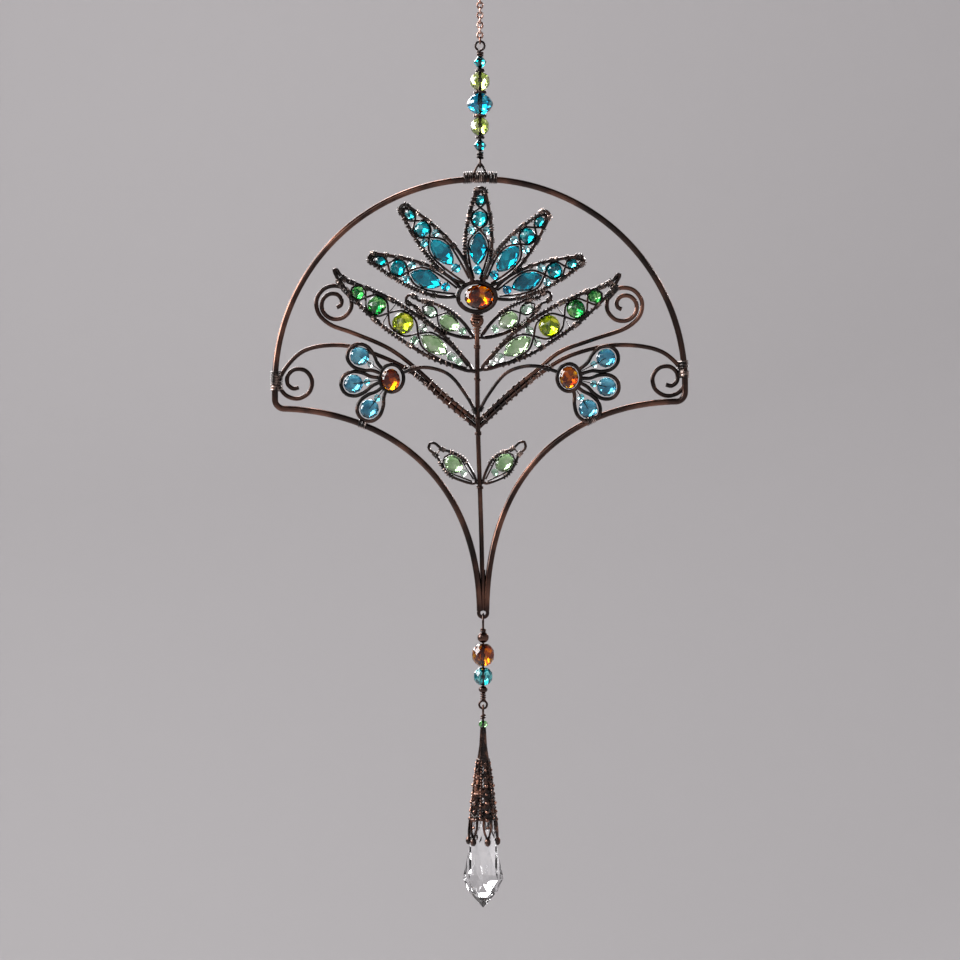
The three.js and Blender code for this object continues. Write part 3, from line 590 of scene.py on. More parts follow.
def tinyBeads(name, look, spots):
    # Several small beads of one colour as one piece. A spot is (centre, size).
    beads = []
    for index, (centre, size) in enumerate(spots):
        tilt = Matrix.Rotation(dice.uniform(0, pi), 4, "Y") @ Matrix.Rotation(dice.uniform(0, pi), 4, "Z")
        scale = Matrix.Diagonal((size * mm, size * mm, size * 0.86 * mm, 1))
        beads.append(copyOf(cuts["tiny"], name + str(index), Matrix.Translation(centre * mm) @ tilt @ scale))
    whole = joinPieces(name, beads)
    whole.hide_render = False
    return dress(whole, look)


# Chain and top ring

chain = {"ringInner": 6.2, "ringWire": 0.9, "linkWire": 0.45, "linkLook": 0.62, "pitch": 1.6, "count": 15}


def makeChain():
    inner = chain["ringInner"]
    middle = (inner + chain["ringWire"]) / 2
    lines = [(ringLine(Vector((0, 0, -inner / 2)), middle, middle, count=64), chain["ringWire"], True)]
    radius = (chain["pitch"] + chain["linkWire"]) / 2
    top = -inner + chain["linkWire"] / 2 - radius
    for index in range(chain["count"]):
        across = deep if index % 2 == 0 else right
        centre = Vector((0, 0, top - index * chain["pitch"]))
        lines.append((ringLine(centre, radius * 0.82, radius, across, up, 24), chain["linkLook"], True))
    dress(wirePiece("hangingChain", lines), "chainCopper", "hanging_chain")


makeChain()


# Bead link

beadLink = {
    "beads": {"upper_bicone_bead": ("bicone", "tealGlass"), "upper_lime_bead": ("bead", "paleLimeGlass"),
              "aqua_rondelle_bead": ("rondelle", "aquaGlass"), "lower_lime_bead": ("bead", "paleLimeGlass"),
              "lower_bicone_bead": ("bicone", "tealGlass")},
    "wire": 0.8, "spacers": [3.0, 4.2, 4.2, 3.0], "spacerHeight": 1.05,
    "eye": 2.9, "eyeWire": 0.75, "loop": 2.8, "turnWire": 0.8, "turnCore": 0.36,
}


def spacerDisc(name, centre, diameter, height, ball=False):
    # A small metal bead, either flat with a rounded rim or a ball.
    upper = [(0.42, 0.5), (0.86, 0.48), (0.97, 0.34), (1, 0.12)]
    rim = upper + [(radius, -share) for radius, share in reversed(upper)]
    if ball:
        rim = [(cos(radians(turn)), sin(radians(turn)) / 2) for turn in range(76, -77, -19)]
    profile = [(radius * diameter / 2, centre.z + share * height) for radius, share in rim]
    return turnedPiece(name, profile, 20, centre.x)


def makeBeadLink():
    boxes = {name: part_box(name) for name in beadLink["beads"]}
    for name, (cut, look) in beadLink["beads"].items():
        beadInBox(name + "Cut", name, cut, look)
    names = list(beadLink["beads"])
    low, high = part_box("bead_link_wire")
    eye, loop = beadLink["eye"], beadLink["loop"]
    eyeCentre = Vector((0, 0, high.z / mm - beadLink["eyeWire"] / 2 - eye / 2 + 0.05))
    loopCentre = Vector((0, 0, low.z / mm + beadLink["wire"] / 2 + loop / 2))
    topZ = boxes[names[0]][1].z / mm
    bottomZ = boxes[names[-1]][0].z / mm
    pin = [Vector((0, 0, eyeCentre.z - eye / 2)), Vector((0, 0, loopCentre.z + loop / 2))]
    lines = [
        (ringLine(eyeCentre, eye / 2, eye / 2), beadLink["eyeWire"], True),
        (ringLine(loopCentre, loop / 2, loop / 2, deep), beadLink["wire"], True),
        (pin, beadLink["wire"], False),
        woundRun(pin, 0.3, pin[0].z - topZ, 2, beadLink["turnCore"], beadLink["turnWire"]),
        woundRun(pin, pin[0].z - bottomZ + 0.1, pin[0].z - pin[1].z - 0.1, 2.5, beadLink["turnCore"],
                 beadLink["turnWire"]),
    ]
    parts = [wirePiece("beadLinkWire", lines)]
    for above, below, width in zip(names, names[1:], beadLink["spacers"]):
        z = (boxes[above][0].z + boxes[below][1].z) / 2 / mm
        parts.append(spacerDisc("spacer", Vector((0, 0, z)), width, beadLink["spacerHeight"]))
    dress(joinPieces("beadLinkWire", parts), "thinCopper", "bead_link_wire")


makeBeadLink()


# Outer frame

outerFrame = {"wire": 2.0, "radius": 65.6, "corner": 3.0, "footSpread": 2.1, "footX": 1.0, "footDepth": 139.8,
              "leftCorner": 73.5, "rightCorner": 71.2, "discRadius": 2.0, "discThickness": 1.3, "hole": 1.7,
              "endLift": 0.6, "softEdge": 0.28, "solderTop": 126, "solderEnd": 1.2, "solderWidth": 1.5,
              "leftWing": [(-36, 75.2), (-1, 90.5)], "rightWing": [(38, 72.6), (2.6, 86)]}


def frameHalf(side):
    # From the top of the arch down one side to the foot.
    sign = signOf[side]
    half = outerFrame["wire"] / 2
    radius, corner = outerFrame["radius"], outerFrame["corner"]
    low = outerFrame[side + "Corner"] + half
    centre = radius + half
    turns = [i / 60 * pi / 2 for i in range(61)]
    arch = [at(sign * radius * sin(turn), centre - radius * cos(turn)) for turn in turns]
    edge = sign * radius
    above, inside = at(edge, low - corner), at(edge - sign * corner, low)
    pull = 0.55 * corner
    pulls = at(edge, low - corner + pull), at(edge - sign * (corner - pull), low)
    bend = bezierLine(above, *pulls, inside, 10)
    guides = [at(*guide) for guide in outerFrame[side + "Wing"]]
    foot = at(outerFrame["footX"] + sign * outerFrame["footSpread"] / 2,
              outerFrame["footDepth"] - outerFrame["endLift"])
    wing = bezierLine(inside, *guides, foot, 70)
    return joined(arch, [arch[-1], above], bend, wing)


def makeOuterFrame():
    route = joined(list(reversed(frameHalf("left"))), frameHalf("right"))
    parts = [wirePiece("frameWire", [(route, outerFrame["wire"], False)], roundness=5)]
    centre = at(outerFrame["footX"], outerFrame["footDepth"])
    bpy.ops.mesh.primitive_cylinder_add(vertices=32, radius=outerFrame["discRadius"] * mm,
                                        depth=outerFrame["discThickness"] * mm, location=centre * mm,
                                        rotation=(pi / 2, 0, 0))
    disc = bpy.context.object
    bpy.ops.object.transform_apply(location=True, rotation=True)
    bpy.ops.mesh.primitive_cylinder_add(vertices=24, radius=outerFrame["hole"] / 2 * mm, depth=4 * mm,
                                        location=centre * mm, rotation=(pi / 2, 0, 0))
    bore = bpy.context.object
    bpy.ops.object.transform_apply(location=True, rotation=True)
    only(disc)
    cut = disc.modifiers.new("footBore", "BOOLEAN")
    cut.operation = "DIFFERENCE"
    cut.object = bore
    bpy.ops.object.modifier_apply(modifier=cut.name)
    soften = disc.modifiers.new("softEdge", "BEVEL")
    soften.width = outerFrame["softEdge"] * mm
    soften.segments = 3
    soften.limit_method = "ANGLE"
    bpy.ops.object.modifier_apply(modifier=soften.name)
    bpy.data.objects.remove(bore)
    parts.append(closeUp(disc))
    depths = outerFrame["solderTop"], outerFrame["footDepth"] - outerFrame["solderEnd"]
    solder = [at(outerFrame["footX"], down) for down in depths]
    parts.append(wirePiece("solder", [(solder, outerFrame["solderWidth"], False)]))
    dress(joinPieces("outerFrame", parts), "frameCopper", "outer_frame")


makeOuterFrame()
print("stage: chain, bead link and frame made")


# Bail: a triangle of wire whose ends run along the top of the frame under the wraps

bail = {"wire": 0.8, "halfFoot": 2.1, "reach": 5.2, "lift": 1.1, "thin": 0.40, "core": 1.02,
        "sleeve": ((-5.3, -2.4, 5), (-1.8, 2.2, 7), (2.9, 5.4, 4.5))}


def makeBail():
    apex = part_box("frame_bail")[1].z / mm - bail["wire"] / 2
    arch = outerFrame["radius"] + bail["lift"]
    centre = at(0, outerFrame["radius"] + outerFrame["wire"] / 2)

    def overFrame(x, lift=0.0):
        return centre + Vector((x, 0, sqrt((arch + lift) ** 2 - x * x)))

    half, reach = bail["halfFoot"], bail["reach"]
    left = [overFrame(-reach), overFrame(-reach * 0.75), overFrame(-half - 0.5), overFrame(-half, 0.5)]
    top = [Vector((-0.42 * half, 0, apex - 0.9)), Vector((0, 0, apex)), Vector((0.42 * half, 0, apex - 0.9))]
    rightSide = [Vector((-point.x, point.y, point.z)) for point in reversed(left)]
    lines = [(smoothLine(left + top + rightSide, 0.25), bail["wire"], False)]
    lines.append(([overFrame(x, -0.1) for x in (-half, 0, half)], bail["wire"] * 0.8, False))
    frameTop = frameHalf("left")[:8]
    across = list(reversed(frameTop)) + [Vector((-point.x, 0, point.z)) for point in frameTop[1:]]
    middle = lengthsOf(across)[-1] / 2
    partner = across[0] + Vector((0, 0, bail["lift"]))
    dress(wirePiece("frameBail", lines), "thinCopper", "frame_bail")
    wraps = [woundRun(across, middle + start, middle + end, turns, bail["core"], bail["thin"], partner)
             for start, end, turns in bail["sleeve"]]
    dress(wirePiece("bailSleeve", wraps, 2), "coilCopper")


makeBail()


# Centre bezel, stem and stone

centre = {"bezelWire": 1.3, "place": (-1.0, 38.7), "halfWidth": 6.0, "halfHeight": 4.75, "stoneWidth": 9.1,
          "stoneHeight": 8.0, "stoneShift": 0.65, "stemWire": 1.5, "eyeOuter": 4.3, "tuck": 2.1,
          "bezelLook": 1.5, "seatWire": 0.45, "seatAhead": 0.55, "stoneDepth": 4.6, "thin": 0.4,
          "collar": [(44.0, 1.8), (45.6, 1.95), (47.2, 1.6), (48.8, 1.2), (50.4, 0.95)],
          "collarTurns": 7, "collarWire": 0.42,
          "ties": ((54.0, 3), (64.6, 2), (77.2, 3), (81.9, 2.5), (99.2, 2))}


def makeCentre():
    middle = at(*centre["place"])
    ring = ringLine(middle, centre["halfWidth"], centre["halfHeight"], count=72)
    lines = [(ring, centre["bezelLook"], True)]
    inner = centre["halfWidth"] - 0.35, centre["halfHeight"] - 0.35
    for ahead in (-centre["seatAhead"], centre["seatAhead"]):  # a thin wire in front of and behind the stone
        lines.append((ringLine(middle + deep * ahead, *inner, count=60), centre["seatWire"], True))
    dress(wirePiece("centreBezel", lines, 4), "thinCopper", "centre_bezel")
    shift = Vector((centre["stoneShift"], 0, 0))
    stone("centreStone", "oval", "amberGlass", middle + shift, centre["stoneWidth"], centre["stoneHeight"],
          right, centre["stoneDepth"], "centre_stone")
    eyeRadius = (centre["eyeOuter"] - centre["stemWire"]) / 2
    eyeDown = centre["place"][1] + centre["halfHeight"] + (centre["bezelWire"] + centre["eyeOuter"]) / 2 + 0.1
    eye = at(stemX(0), eyeDown)
    depths = (80, 104, 116, 124, 136)
    stem = [eye + Vector((0, 0, -eyeRadius))]
    stem += [at(stemX(down), down, centre["tuck"] * smoothStep(down, 103, 122)) for down in depths]
    route = smoothLine(stem, 1.0)
    eyeRing = ringLine(eye, eyeRadius, eyeRadius)
    lines = [(route, centre["stemWire"], False), (eyeRing, centre["stemWire"], True)]
    lines.append((ringLine(eye + Vector((0, -0.25, 0)), 0.35, 0.35, count=16), 0.6, True))
    collar, steps = [], centre["collarTurns"] * 12
    first, last = centre["collar"][0][0], centre["collar"][-1][0]
    for i in range(steps + 1):  # a tapering binding that holds the rolled eye to the bezel
        down = first + i / steps * (last - first)
        radius = onTable(centre["collar"], down)
        angle = 2 * pi * i / 12
        collar.append(at(stemX(0) + radius * cos(angle), down, 0.62 * radius * sin(angle)))
    lines.append((collar, centre["collarWire"], False))
    for down, turns in centre["ties"]:
        start = down - eyeDown - eyeRadius
        end = start + turns * centre["thin"] * 1.1
        lines.append(woundRun(route, start, end, turns, centre["stemWire"] / 2, centre["thin"]))
    dress(wirePiece("centreStem", lines, 4), "frameCopper", "centre_stem")


makeCentre()
print("stage: bail, bezel and stem made")


# Petals: an outline wire, two woven wires, stones, small beads and thin bindings

petal = {
    "wire": 1.15, "weave": 0.7, "thin": 0.42, "belly": 6.0, "shoulder": 4.4, "tipHalf": 1.5,
    "stones": [("petalNavette", "navette", "blueGlass", 10.8, 6.0, 19.5, 3.4, "petal_navette_"),
               ("petalRound", "bead", "tealGlass", 4.8, 4.6, 9.9, 3.8, "petal_round_"),
               ("petalTip", "tiny", "tealGlass", 3.3, 2.5, 3.9, 2.4, "")],  # long, wide, back, deep
    "crossings": (13.3, 6.3, 1.2), "sideBeads": (13.6, 2.5, 2.8), "throat": (26.3, 3.0), "throatHalf": 1.9,
    "tipEye": (1.7, 0.95, 0.8), "tipEyeWire": 0.5,
    "rootStart": (0.6, 0.95), "rootSpread": 13,
    "tipCoils": [(0.9, 2.9, 4), (1.3, 2.3, 2)],
    "fullCoils": [(3.6, 7.6, 3), (8.2, 10.8, 5), (11.6, 13.2, 2), (13.8, 23.0, 9), (24, 26, 4)],
    "fewCoils": [(5.2, 6.4, 2), (8.6, 11.4, 6), (12.6, 15.0, 3), (17.0, 18.4, 3), (20.4, 22.6, 4)],
}
petals = [
    # where it meets the bezel in degrees, its tip, how far it stands ahead, and the flank with the most coils
    {"root": 165, "tip": (-35.4, 25.8), "ahead": 0, "coiled": 1},
    {"root": 121, "tip": (-25.0, 9.8), "ahead": layout["petalAhead"], "coiled": 1},
    {"root": 90, "tip": (0.3, 3.8), "ahead": 0, "coiled": 1},
    {"root": 52, "tip": (21.6, 11.8), "ahead": layout["petalAhead"], "coiled": 1},
    {"root": 8, "tip": (33.1, 26.6), "ahead": 0, "coiled": -1},
]


def weave(place, start, eyes, crossings, thickness, rise=0.34):
    # Two wires that cross between the stones, each passing over and under the other in turn.
    runs = []
    last, startHalf = start
    for first in (1, -1):
        points = [place(last, startHalf * first)]
        before = last
        for index, (fromTip, half) in enumerate(eyes):
            side = half * (first if index % 2 == 0 else -first)
            crossing = crossings[index]
            leave = 0.74 if index == 0 else 0.84
            points.append(place(fromTip + (before - fromTip) * 0.5, side * leave))
            points.append(place(fromTip, side))
            points.append(place(fromTip - (fromTip - crossing) * 0.5, side * 0.84))
            over = rise if (first > 0) == (index % 2 == 0) else -rise
            points.append(place(crossing, 0, over))
            before = crossing
        runs.append((smoothLine(points, 0.35), thickness, False))
    return runs


def eyeHalf(width, thickness):
    return width / 2 - 0.08 + thickness / 2


def windings(flank, groups, coreRadius, thin):
    # Groups of thin turns on a flank. A group is (start, end, turns) in millimetres along it.
    total = lengthsOf(flank)[-1]
    runs = []
    for start, end, turns in groups:
        start, end = max(start, 0.1), min(end, total - 0.05)
        if end > start:
            runs.append(woundRun(flank, start, end, turns, coreRadius, thin))
    return runs


def backFrom(total, groups):
    # Groups of turns given by their distance back from the end of a flank.
    return [(total - far, total - near, turns) for far, near, turns in groups]


def bezelRoot(degrees, ahead):
    # Where a petal wire meets the bezel, at an angle from the right.
    angle = radians(degrees)
    halves = [centre[key] + centre["bezelWire"] / 2 for key in ("halfWidth", "halfHeight")]
    reach = 1 / hypot(cos(angle) / halves[0], sin(angle) / halves[1]) - 0.25
    return at(*centre["place"]) + Vector((reach * cos(angle), -ahead, reach * sin(angle)))


def makePetal(number, spec):
    root, before = spec["root"], spec["ahead"]
    length, ahead, place = gridAlong(bezelRoot(root, before), at(*spec["tip"], -before))
    shoulderEnd = petal["tipHalf"]
    flanks, runs = [], []
    for sign in (1, -1):
        half = petal["tipHalf"] * sign
        start = bezelRoot(root + sign * petal["rootSpread"], before)
        side = bezierLine(start, place(0.78 * length, sign * petal["belly"]),
                          place(0.4 * length, sign * petal["shoulder"]), place(shoulderEnd, half), 60)
        turn = bezierLine(place(shoulderEnd, half), place(shoulderEnd * 0.35, half), place(0, half * 0.6),
                          place(0, 0), 8)
        if before:
            side = [start + Vector((0, before * 0.75, 0)), *side]
        flanks.append(list(reversed(joined(side, turn))))
    runs.append((joined(list(reversed(flanks[0])), flanks[1]), petal["wire"], False))
    eyes = [(back, eyeHalf(wide, petal["weave"])) for _, _, _, _, wide, back, _, _ in petal["stones"]]
    rootStart = (length - petal["rootStart"][0], petal["rootStart"][1])
    runs += weave(place, rootStart, eyes, petal["crossings"], petal["weave"])
    core, thin = petal["wire"] / 2, petal["thin"]
    total = lengthsOf(flanks[0])[-1]
    coils = []
    for sign, flank in ((1, flanks[0]), (-1, flanks[1])):
        coils += windings(flank, petal["tipCoils"], core + (0.08 if sign == 1 else 0.0), thin)
        groups = petal["fullCoils"] if sign == spec["coiled"] else petal["fewCoils"]
        coils += windings(flank, [(a, min(b, total - 3), turns) for a, b, turns in groups], core, thin)
    back, halfWide, halfHigh = petal["tipEye"]
    runs.append((ringLine(place(back, 0), halfWide, halfHigh, count=20), petal["tipEyeWire"], True))
    beadAt, beadSide, beadSize = petal["sideBeads"]
    edge = petal["shoulder"] * 0.93
    threads = [place(beadAt + 1.2, edge), place(beadAt, beadSide), place(petal["crossings"][0], 0),
               place(beadAt, -beadSide), place(beadAt + 1.2, -edge)]
    runs.append((threads, thin * 0.7, False))
    throatAt, throatSize = petal["throat"]
    across = [place(throatAt, petal["throatHalf"]), place(throatAt, -petal["throatHalf"])]
    runs.append((across, thin * 0.8, False))
    dress(wirePiece(f"petalWire{number}", runs, 2), "thinCopper", f"petal_wire_{number}")
    dress(wirePiece(f"petalCoils{number}", coils, 2), "coilCopper")
    for name, cut, look, long, wide, back, depth, node in petal["stones"]:
        nodes = [f"{node}{number}"] if node else []
        stone(f"{name}{number}", cut, look, place(back, 0), long, wide, ahead, depth, *nodes)
    spots = [(place(beadAt, beadSide), beadSize), (place(beadAt, -beadSide), beadSize * 0.95)]
    tinyBeads(f"petalBeads{number}", "iceGlass", spots)
    tinyBeads(f"petalThroat{number}", "aquaGlass", [(place(throatAt, 0), throatSize)])


for number, spec in enumerate(petals, 1):
    makePetal(number, spec)
print("stage: petals made")


# Leaves

longLeaf = {
    "halves": [(0.03, 0.9), (0.12, 2.2), (0.27, 4.0), (0.5, 4.6), (0.7, 4.1), (0.86, 2.7), (1, 1.15)],
    "stones": [("leaf_navette", "navette", "sageGlass", 10.4, 5.6, 35.4, 3.6),
               ("lime_stone", "bead", "limeGlass", 6.7, 6.5, 23.3, 5.4),
               ("green_stone", "bead", "greenGlass", 5.8, 5.7, 13.2, 4.8)],
    "small": (4.2, 6.0), "crossings": (29.2, 17.6, 8.8, 3.4), "start": (2.0, 0.3),
    "hookReach": 4.6, "hookLift": 1.7, "threads": (29.3, 17.6),
    "coils": [(8.6, 6.0, 6), (13.4, 11.2, 5), (22.5, 19.6, 7), (32.5, 23.2, 7), (36.0, 33.6, 5)],
    "tipCoils": [(5.6, 3.4, 5)],
    "paleBeads": [(42.2, 0, 3.3), (45.0, 0, 2.4), (29.4, 2.3, 2.7), (29.4, -2.3, 2.7)],
    "left": {"root": 62.4, "tip": (-43.9, 34.0)}, "right": {"root": 61.9, "tip": (41.8, 35.5)},
}
sageLeaf = {
    "wire": 0.95, "weaveWire": 0.55,
    "halves": [(0.03, 0.7), (0.2, 2.4), (0.45, 3.4), (0.7, 2.8), (0.84, 1.7), (0.915, 1.05), (0.965, 1.35),
               (1.02, 1.4), (1.06, 0.95)],
    "stone": (6.7, 5.3, 14.2), "stoneDepth": 3.6, "clear": (4.2, 3.1, 7.2), "clearDepth": 2.8,
    "crossings": (9.7, 4.2), "tiny": (19.2, 2.6),
    "start": (1.0, 0.3), "coils": [(9.5, 6.4, 6), (18.5, 11.0, 7)], "tipCoils": [(3.4, 1.5, 5)],
    "left": {"root": 51.6, "tip": (-22.0, 39.6)}, "right": {"root": 51.6, "tip": (21.1, 38.6)},
}
bud = {
    "wire": 0.9, "eyeWire": 0.5, "tieWire": 0.4,
    "halves": [(0.03, 0.7), (0.22, 2.2), (0.5, 3.4), (0.78, 2.5), (0.94, 1.4), (1.04, 1.35), (1.13, 1.35),
               (1.18, 0.95)],
    "stone": (6.4, 5.4, 9.2), "stoneDepth": 3.8, "loopReach": 3.4, "lift": 0.3, "tiny": (4.9, 2.4),
    "coils": [(5.6, 3.8, 5), (8.6, 7.0, 2), (14.0, 9.4, 5)],
    "left": {"root": 98.2, "tip": (-13.6, 88.0)}, "right": {"root": 98.2, "tip": (12.0, 87.7)},
}


def rootPlace(side, down, wire, behind=0.0):
    sign = signOf[side]
    return at(stemX(down) + sign * (centre["stemWire"] / 2 + 0.12 + wire / 2), down, behind)


def leafFlank(place, length, halves, sign, end):
    points = [place(length, 0)] + [place(length * (1 - share), sign * half) for share, half in halves]
    return smoothLine(points + [end], 0.5)


def makeLongLeaf(side):
    spec = longLeaf[side]
    base = rootPlace(side, spec["root"], petal["wire"])
    length, ahead, place = gridAlong(base, at(*spec["tip"]))
    lift = longLeaf["hookLift"] * signOf[side]
    reach = longLeaf["hookReach"]
    flanks = []
    for sign in (1, -1):  # the wire goes round a narrow loop at the tip
        guides = [place(length * (1 - share), sign * half) for share, half in longLeaf["halves"]]
        loop = [place(-reach * 0.45, lift * 0.45 + sign * 0.7),
                place(-reach * 0.86, lift * 0.97 + sign * 0.5), place(-reach, lift)]
        flanks.append(smoothLine([place(length, 0), *guides, *loop], 0.4))
    runs = [(thereAndBack(*flanks), petal["wire"], False)]
    runs.append(([base, at(stemX(spec["root"]), spec["root"] + 0.2)], petal["wire"] * 1.2, False))
    eyes = [(stoneAt, eyeHalf(width, petal["weave"])) for _, _, _, _, width, stoneAt, _ in longLeaf["stones"]]
    smallSize, smallAt = longLeaf["small"]
    eyes.append((smallAt, smallSize / 2 + 0.15))
    rootStart = (length - longLeaf["start"][0], longLeaf["start"][1])
    runs += weave(place, rootStart, eyes, longLeaf["crossings"], petal["weave"])
    core, thin = petal["wire"] / 2, petal["thin"]
    coils = []
    for flank in flanks:
        total = lengthsOf(flank)[-1]
        coils += windings(flank, backFrom(total, longLeaf["coils"]), core, thin)
        coils += windings(flank, [(5.5, total - 37.2, 7), (total - 18.6, total - 14.2, 3)], core, thin)
        coils += windings(flank, backFrom(total, longLeaf["tipCoils"]), core + 0.16, thin)
    for fromTip in longLeaf["threads"]:
        thread = [place(fromTip + 0.4, 4.3), place(fromTip, 0), place(fromTip + 0.4, -4.3)]
        runs.append((thread, thin * 0.8, False))
    dress(wirePiece(side + "LongLeafWire", runs, 2), "thinCopper", side + "_long_leaf_wire")
    dress(wirePiece(side + "LongLeafCoils", coils, 2), "coilCopper")
    for node, cut, look, long, width, stoneAt, depth in longLeaf["stones"]:
        stone(side + node.title().replace("_", ""), cut, look, place(stoneAt, 0), long, width, ahead, depth,
              side + "_" + node)
    tinyBeads(side + "LeafGreenBead", "greenGlass", [(place(smallAt, 0), smallSize)])
    spots = [(place(fromTip, left), size) for fromTip, left, size in longLeaf["paleBeads"]]
    tinyBeads(side + "LeafPaleBeads", "mintGlass", spots)


def makeLeafPair(name, node, leaf, behind, extras):
    # Two small leaves bent from one wire that passes behind the stem.
    runs, coils = [], []
    for side in signOf:
        base = rootPlace(side, leaf[side]["root"], leaf["wire"], behind)
        length, ahead, place = gridAlong(base, at(*leaf[side]["tip"], behind))
        wires, turns = extras(side, length, ahead, place)
        runs += wires
        coils += turns
    down = leaf["left"]["root"]
    x = stemX(down)
    reach = rootPlace("right", down, leaf["wire"]).x - x
    bend = max(behind, reach * 0.7)
    bridge = [at(x - reach, down, behind), at(x - reach * 0.8, down, bend), at(x, down + 0.3, reach),
              at(x + reach * 0.8, down, bend), at(x + reach, down, behind)]
    runs.append((smoothLine(bridge, 0.3), leaf["wire"], False))
    dress(wirePiece(name, runs, 2), "thinCopper", node)
    dress(wirePiece(name.replace("Wire", "Coils"), coils, 2), "coilCopper")


def sageExtras(side, length, ahead, place):
    end = place(-1.8, 0.2 * signOf[side])
    flanks = [leafFlank(place, length, sageLeaf["halves"], sign, end) for sign in (1, -1)]
    runs = [(thereAndBack(*flanks), sageLeaf["wire"], False)]
    (long, wide, stoneAt), (clearLong, clearWide, clearAt) = sageLeaf["stone"], sageLeaf["clear"]
    eyes = [(stoneAt, eyeHalf(wide, sageLeaf["weaveWire"])), (clearAt, clearWide / 2 + 0.25)]
    rootStart = (length - sageLeaf["start"][0], sageLeaf["start"][1])
    runs += weave(place, rootStart, eyes, sageLeaf["crossings"], sageLeaf["weaveWire"], 0.3)
    thin = petal["thin"]
    coils = windings(flanks[0], [(length * 0.82, length * 0.96, 5)], sageLeaf["wire"] / 2 + 0.1, thin)
    coils += windings(flanks[1], [(length * 0.80, length * 0.92, 4)], sageLeaf["wire"] / 2 + 0.1, thin)
    for flank in flanks:
        total = lengthsOf(flank)[-1]
        coils += windings(flank, backFrom(total, sageLeaf["coils"]), sageLeaf["wire"] / 2, thin)
        coils += windings(flank, backFrom(total, sageLeaf["tipCoils"]), sageLeaf["wire"] / 2 + 0.12, thin)
    stone(side + "SageStone", "oval", "sageGlass", place(stoneAt, 0), long, wide, ahead,
          sageLeaf["stoneDepth"], side + "_sage_stone")
    tinyAt, tinySize = sageLeaf["tiny"]
    stone(side + "SageClear", "tiny", "mintGlass", place(clearAt, 0), clearLong, clearWide, ahead,
          sageLeaf["clearDepth"])
    tinyBeads(side + "SageBead", "mintGlass", [(place(tinyAt, 0), tinySize)])
    return runs, coils


def budExtras(side, length, ahead, place):
    end = place(-bud["loopReach"], bud["lift"] * signOf[side])
    flanks = [leafFlank(place, length, bud["halves"], sign, end) for sign in (1, -1)]
    runs = [(thereAndBack(*flanks), bud["wire"], False)]
    long, wide, along = bud["stone"]
    half = wide / 2 + 0.3
    rim = [(1.2, 0.4), (along - 2.0, half * 0.82), (along, half), (along + 2.6, half * 0.72),
           (along + 3.7, 0)]
    eye = [smoothLine([place(length - far, sign * out) for far, out in rim], 0.35) for sign in (1, -1)]
    runs.append((thereAndBack(*eye), bud["eyeWire"], False))
    coils = []
    for flank in flanks:
        total = lengthsOf(flank)[-1]
        coils += windings(flank, backFrom(total, bud["coils"]), bud["wire"] / 2, petal["thin"])
    runs.append(([place(0.3, 1.5), place(0.5, 0, -0.3), place(0.3, -1.5)], bud["tieWire"], False))
    stone(side + "BudStone", "oval", "sageGlass", place(length - along, 0), long, wide, ahead,
          bud["stoneDepth"], side + "_bud_stone")
    tinyAlong, tinySize = bud["tiny"]
    tinyBeads(side + "BudBead", "mintGlass", [(place(length - tinyAlong, 0), tinySize)])
    return runs, coils


for side in signOf:
    makeLongLeaf(side)
makeLeafPair("sageLeafWire", "sage_leaf_wire", sageLeaf, layout["sageBehind"], sageExtras)
makeLeafPair("budLeafWire", "bud_leaf_wire", bud, 0.0, budExtras)
print("stage: leaves made")


# Scrolls

scroll = {
    "wire": 1.4, "thin": 0.42, "bindingTurns": 9, "bindingPitch": 0.45,
    # Each side has its route as (right, down) and the middle of its spiral.
    "upper": {"outer": 6.0, "inner": 1.3, "startLift": 30, "turns": 1.75, "power": 2,
              "left": ([(-0.1, 79.2), (-11.2, 70.2), (-20.5, 61.6), (-29.1, 55.2), (-40.8, 50.1),
                        (-48.2, 47.3)], (-46.6, 40.8)),
              "right": ([(-0.9, 78.9), (8.9, 69.8), (19.2, 61.3), (25.5, 56.3), (35.7, 52.4),
                         (47.4, 48.2)], (46.1, 41.4))},
    "lower": {"outer": 5.7, "inner": 1.9, "startLift": 0, "turns": 1.3, "power": 1.6,
              "left": ([(-0.3, 81.0), (-11.7, 71.5), (-21.3, 63.1), (-31.6, 57.7), (-44.5, 54.1),
                        (-57.2, 56.3)], (-58.7, 65.8)),
              "right": ([(-0.7, 80.7), (9.5, 71.1), (19.9, 62.7), (28.5, 57.6), (43.8, 54.0),
                         (59.1, 56.6)], (60.2, 64.9))},
}


def spiralPoints(middle, level, side):
    # A flat spiral, its angle measured clockwise from the right as seen from the front.
    sense = -signOf[side] * (1 if level is scroll["upper"] else -1)
    start = radians(180 - level["startLift"] if side == "left" else level["startLift"])
    count = round(level["turns"] * 8)
    points = []
    for i in range(count + 1):
        share = i / count
        angle = start + sense * share * level["turns"] * 2 * pi
        radius = level["outer"] - (level["outer"] - level["inner"]) * share ** level["power"]
        x, down = middle[0] + radius * cos(angle), middle[1] + radius * sin(angle)
        points.append(at(x, down, layout["scrollBehind"]))
    return points


def makeScrolls():
    lines = {}
    for side in signOf:
        for name in ("upper", "lower"):
            route, middle = scroll[name][side]
            points = [at(x, down, layout["scrollBehind"]) for x, down in route]
            line = smoothLine(points + spiralPoints(middle, scroll[name], side), 0.6)
            lines[side + name] = line
            dress(wirePiece(f"{side}{name.title()}Scroll", [(line, scroll["wire"], False)], 4), "frameCopper",
                  f"{side}_{name}_scroll")
    return lines


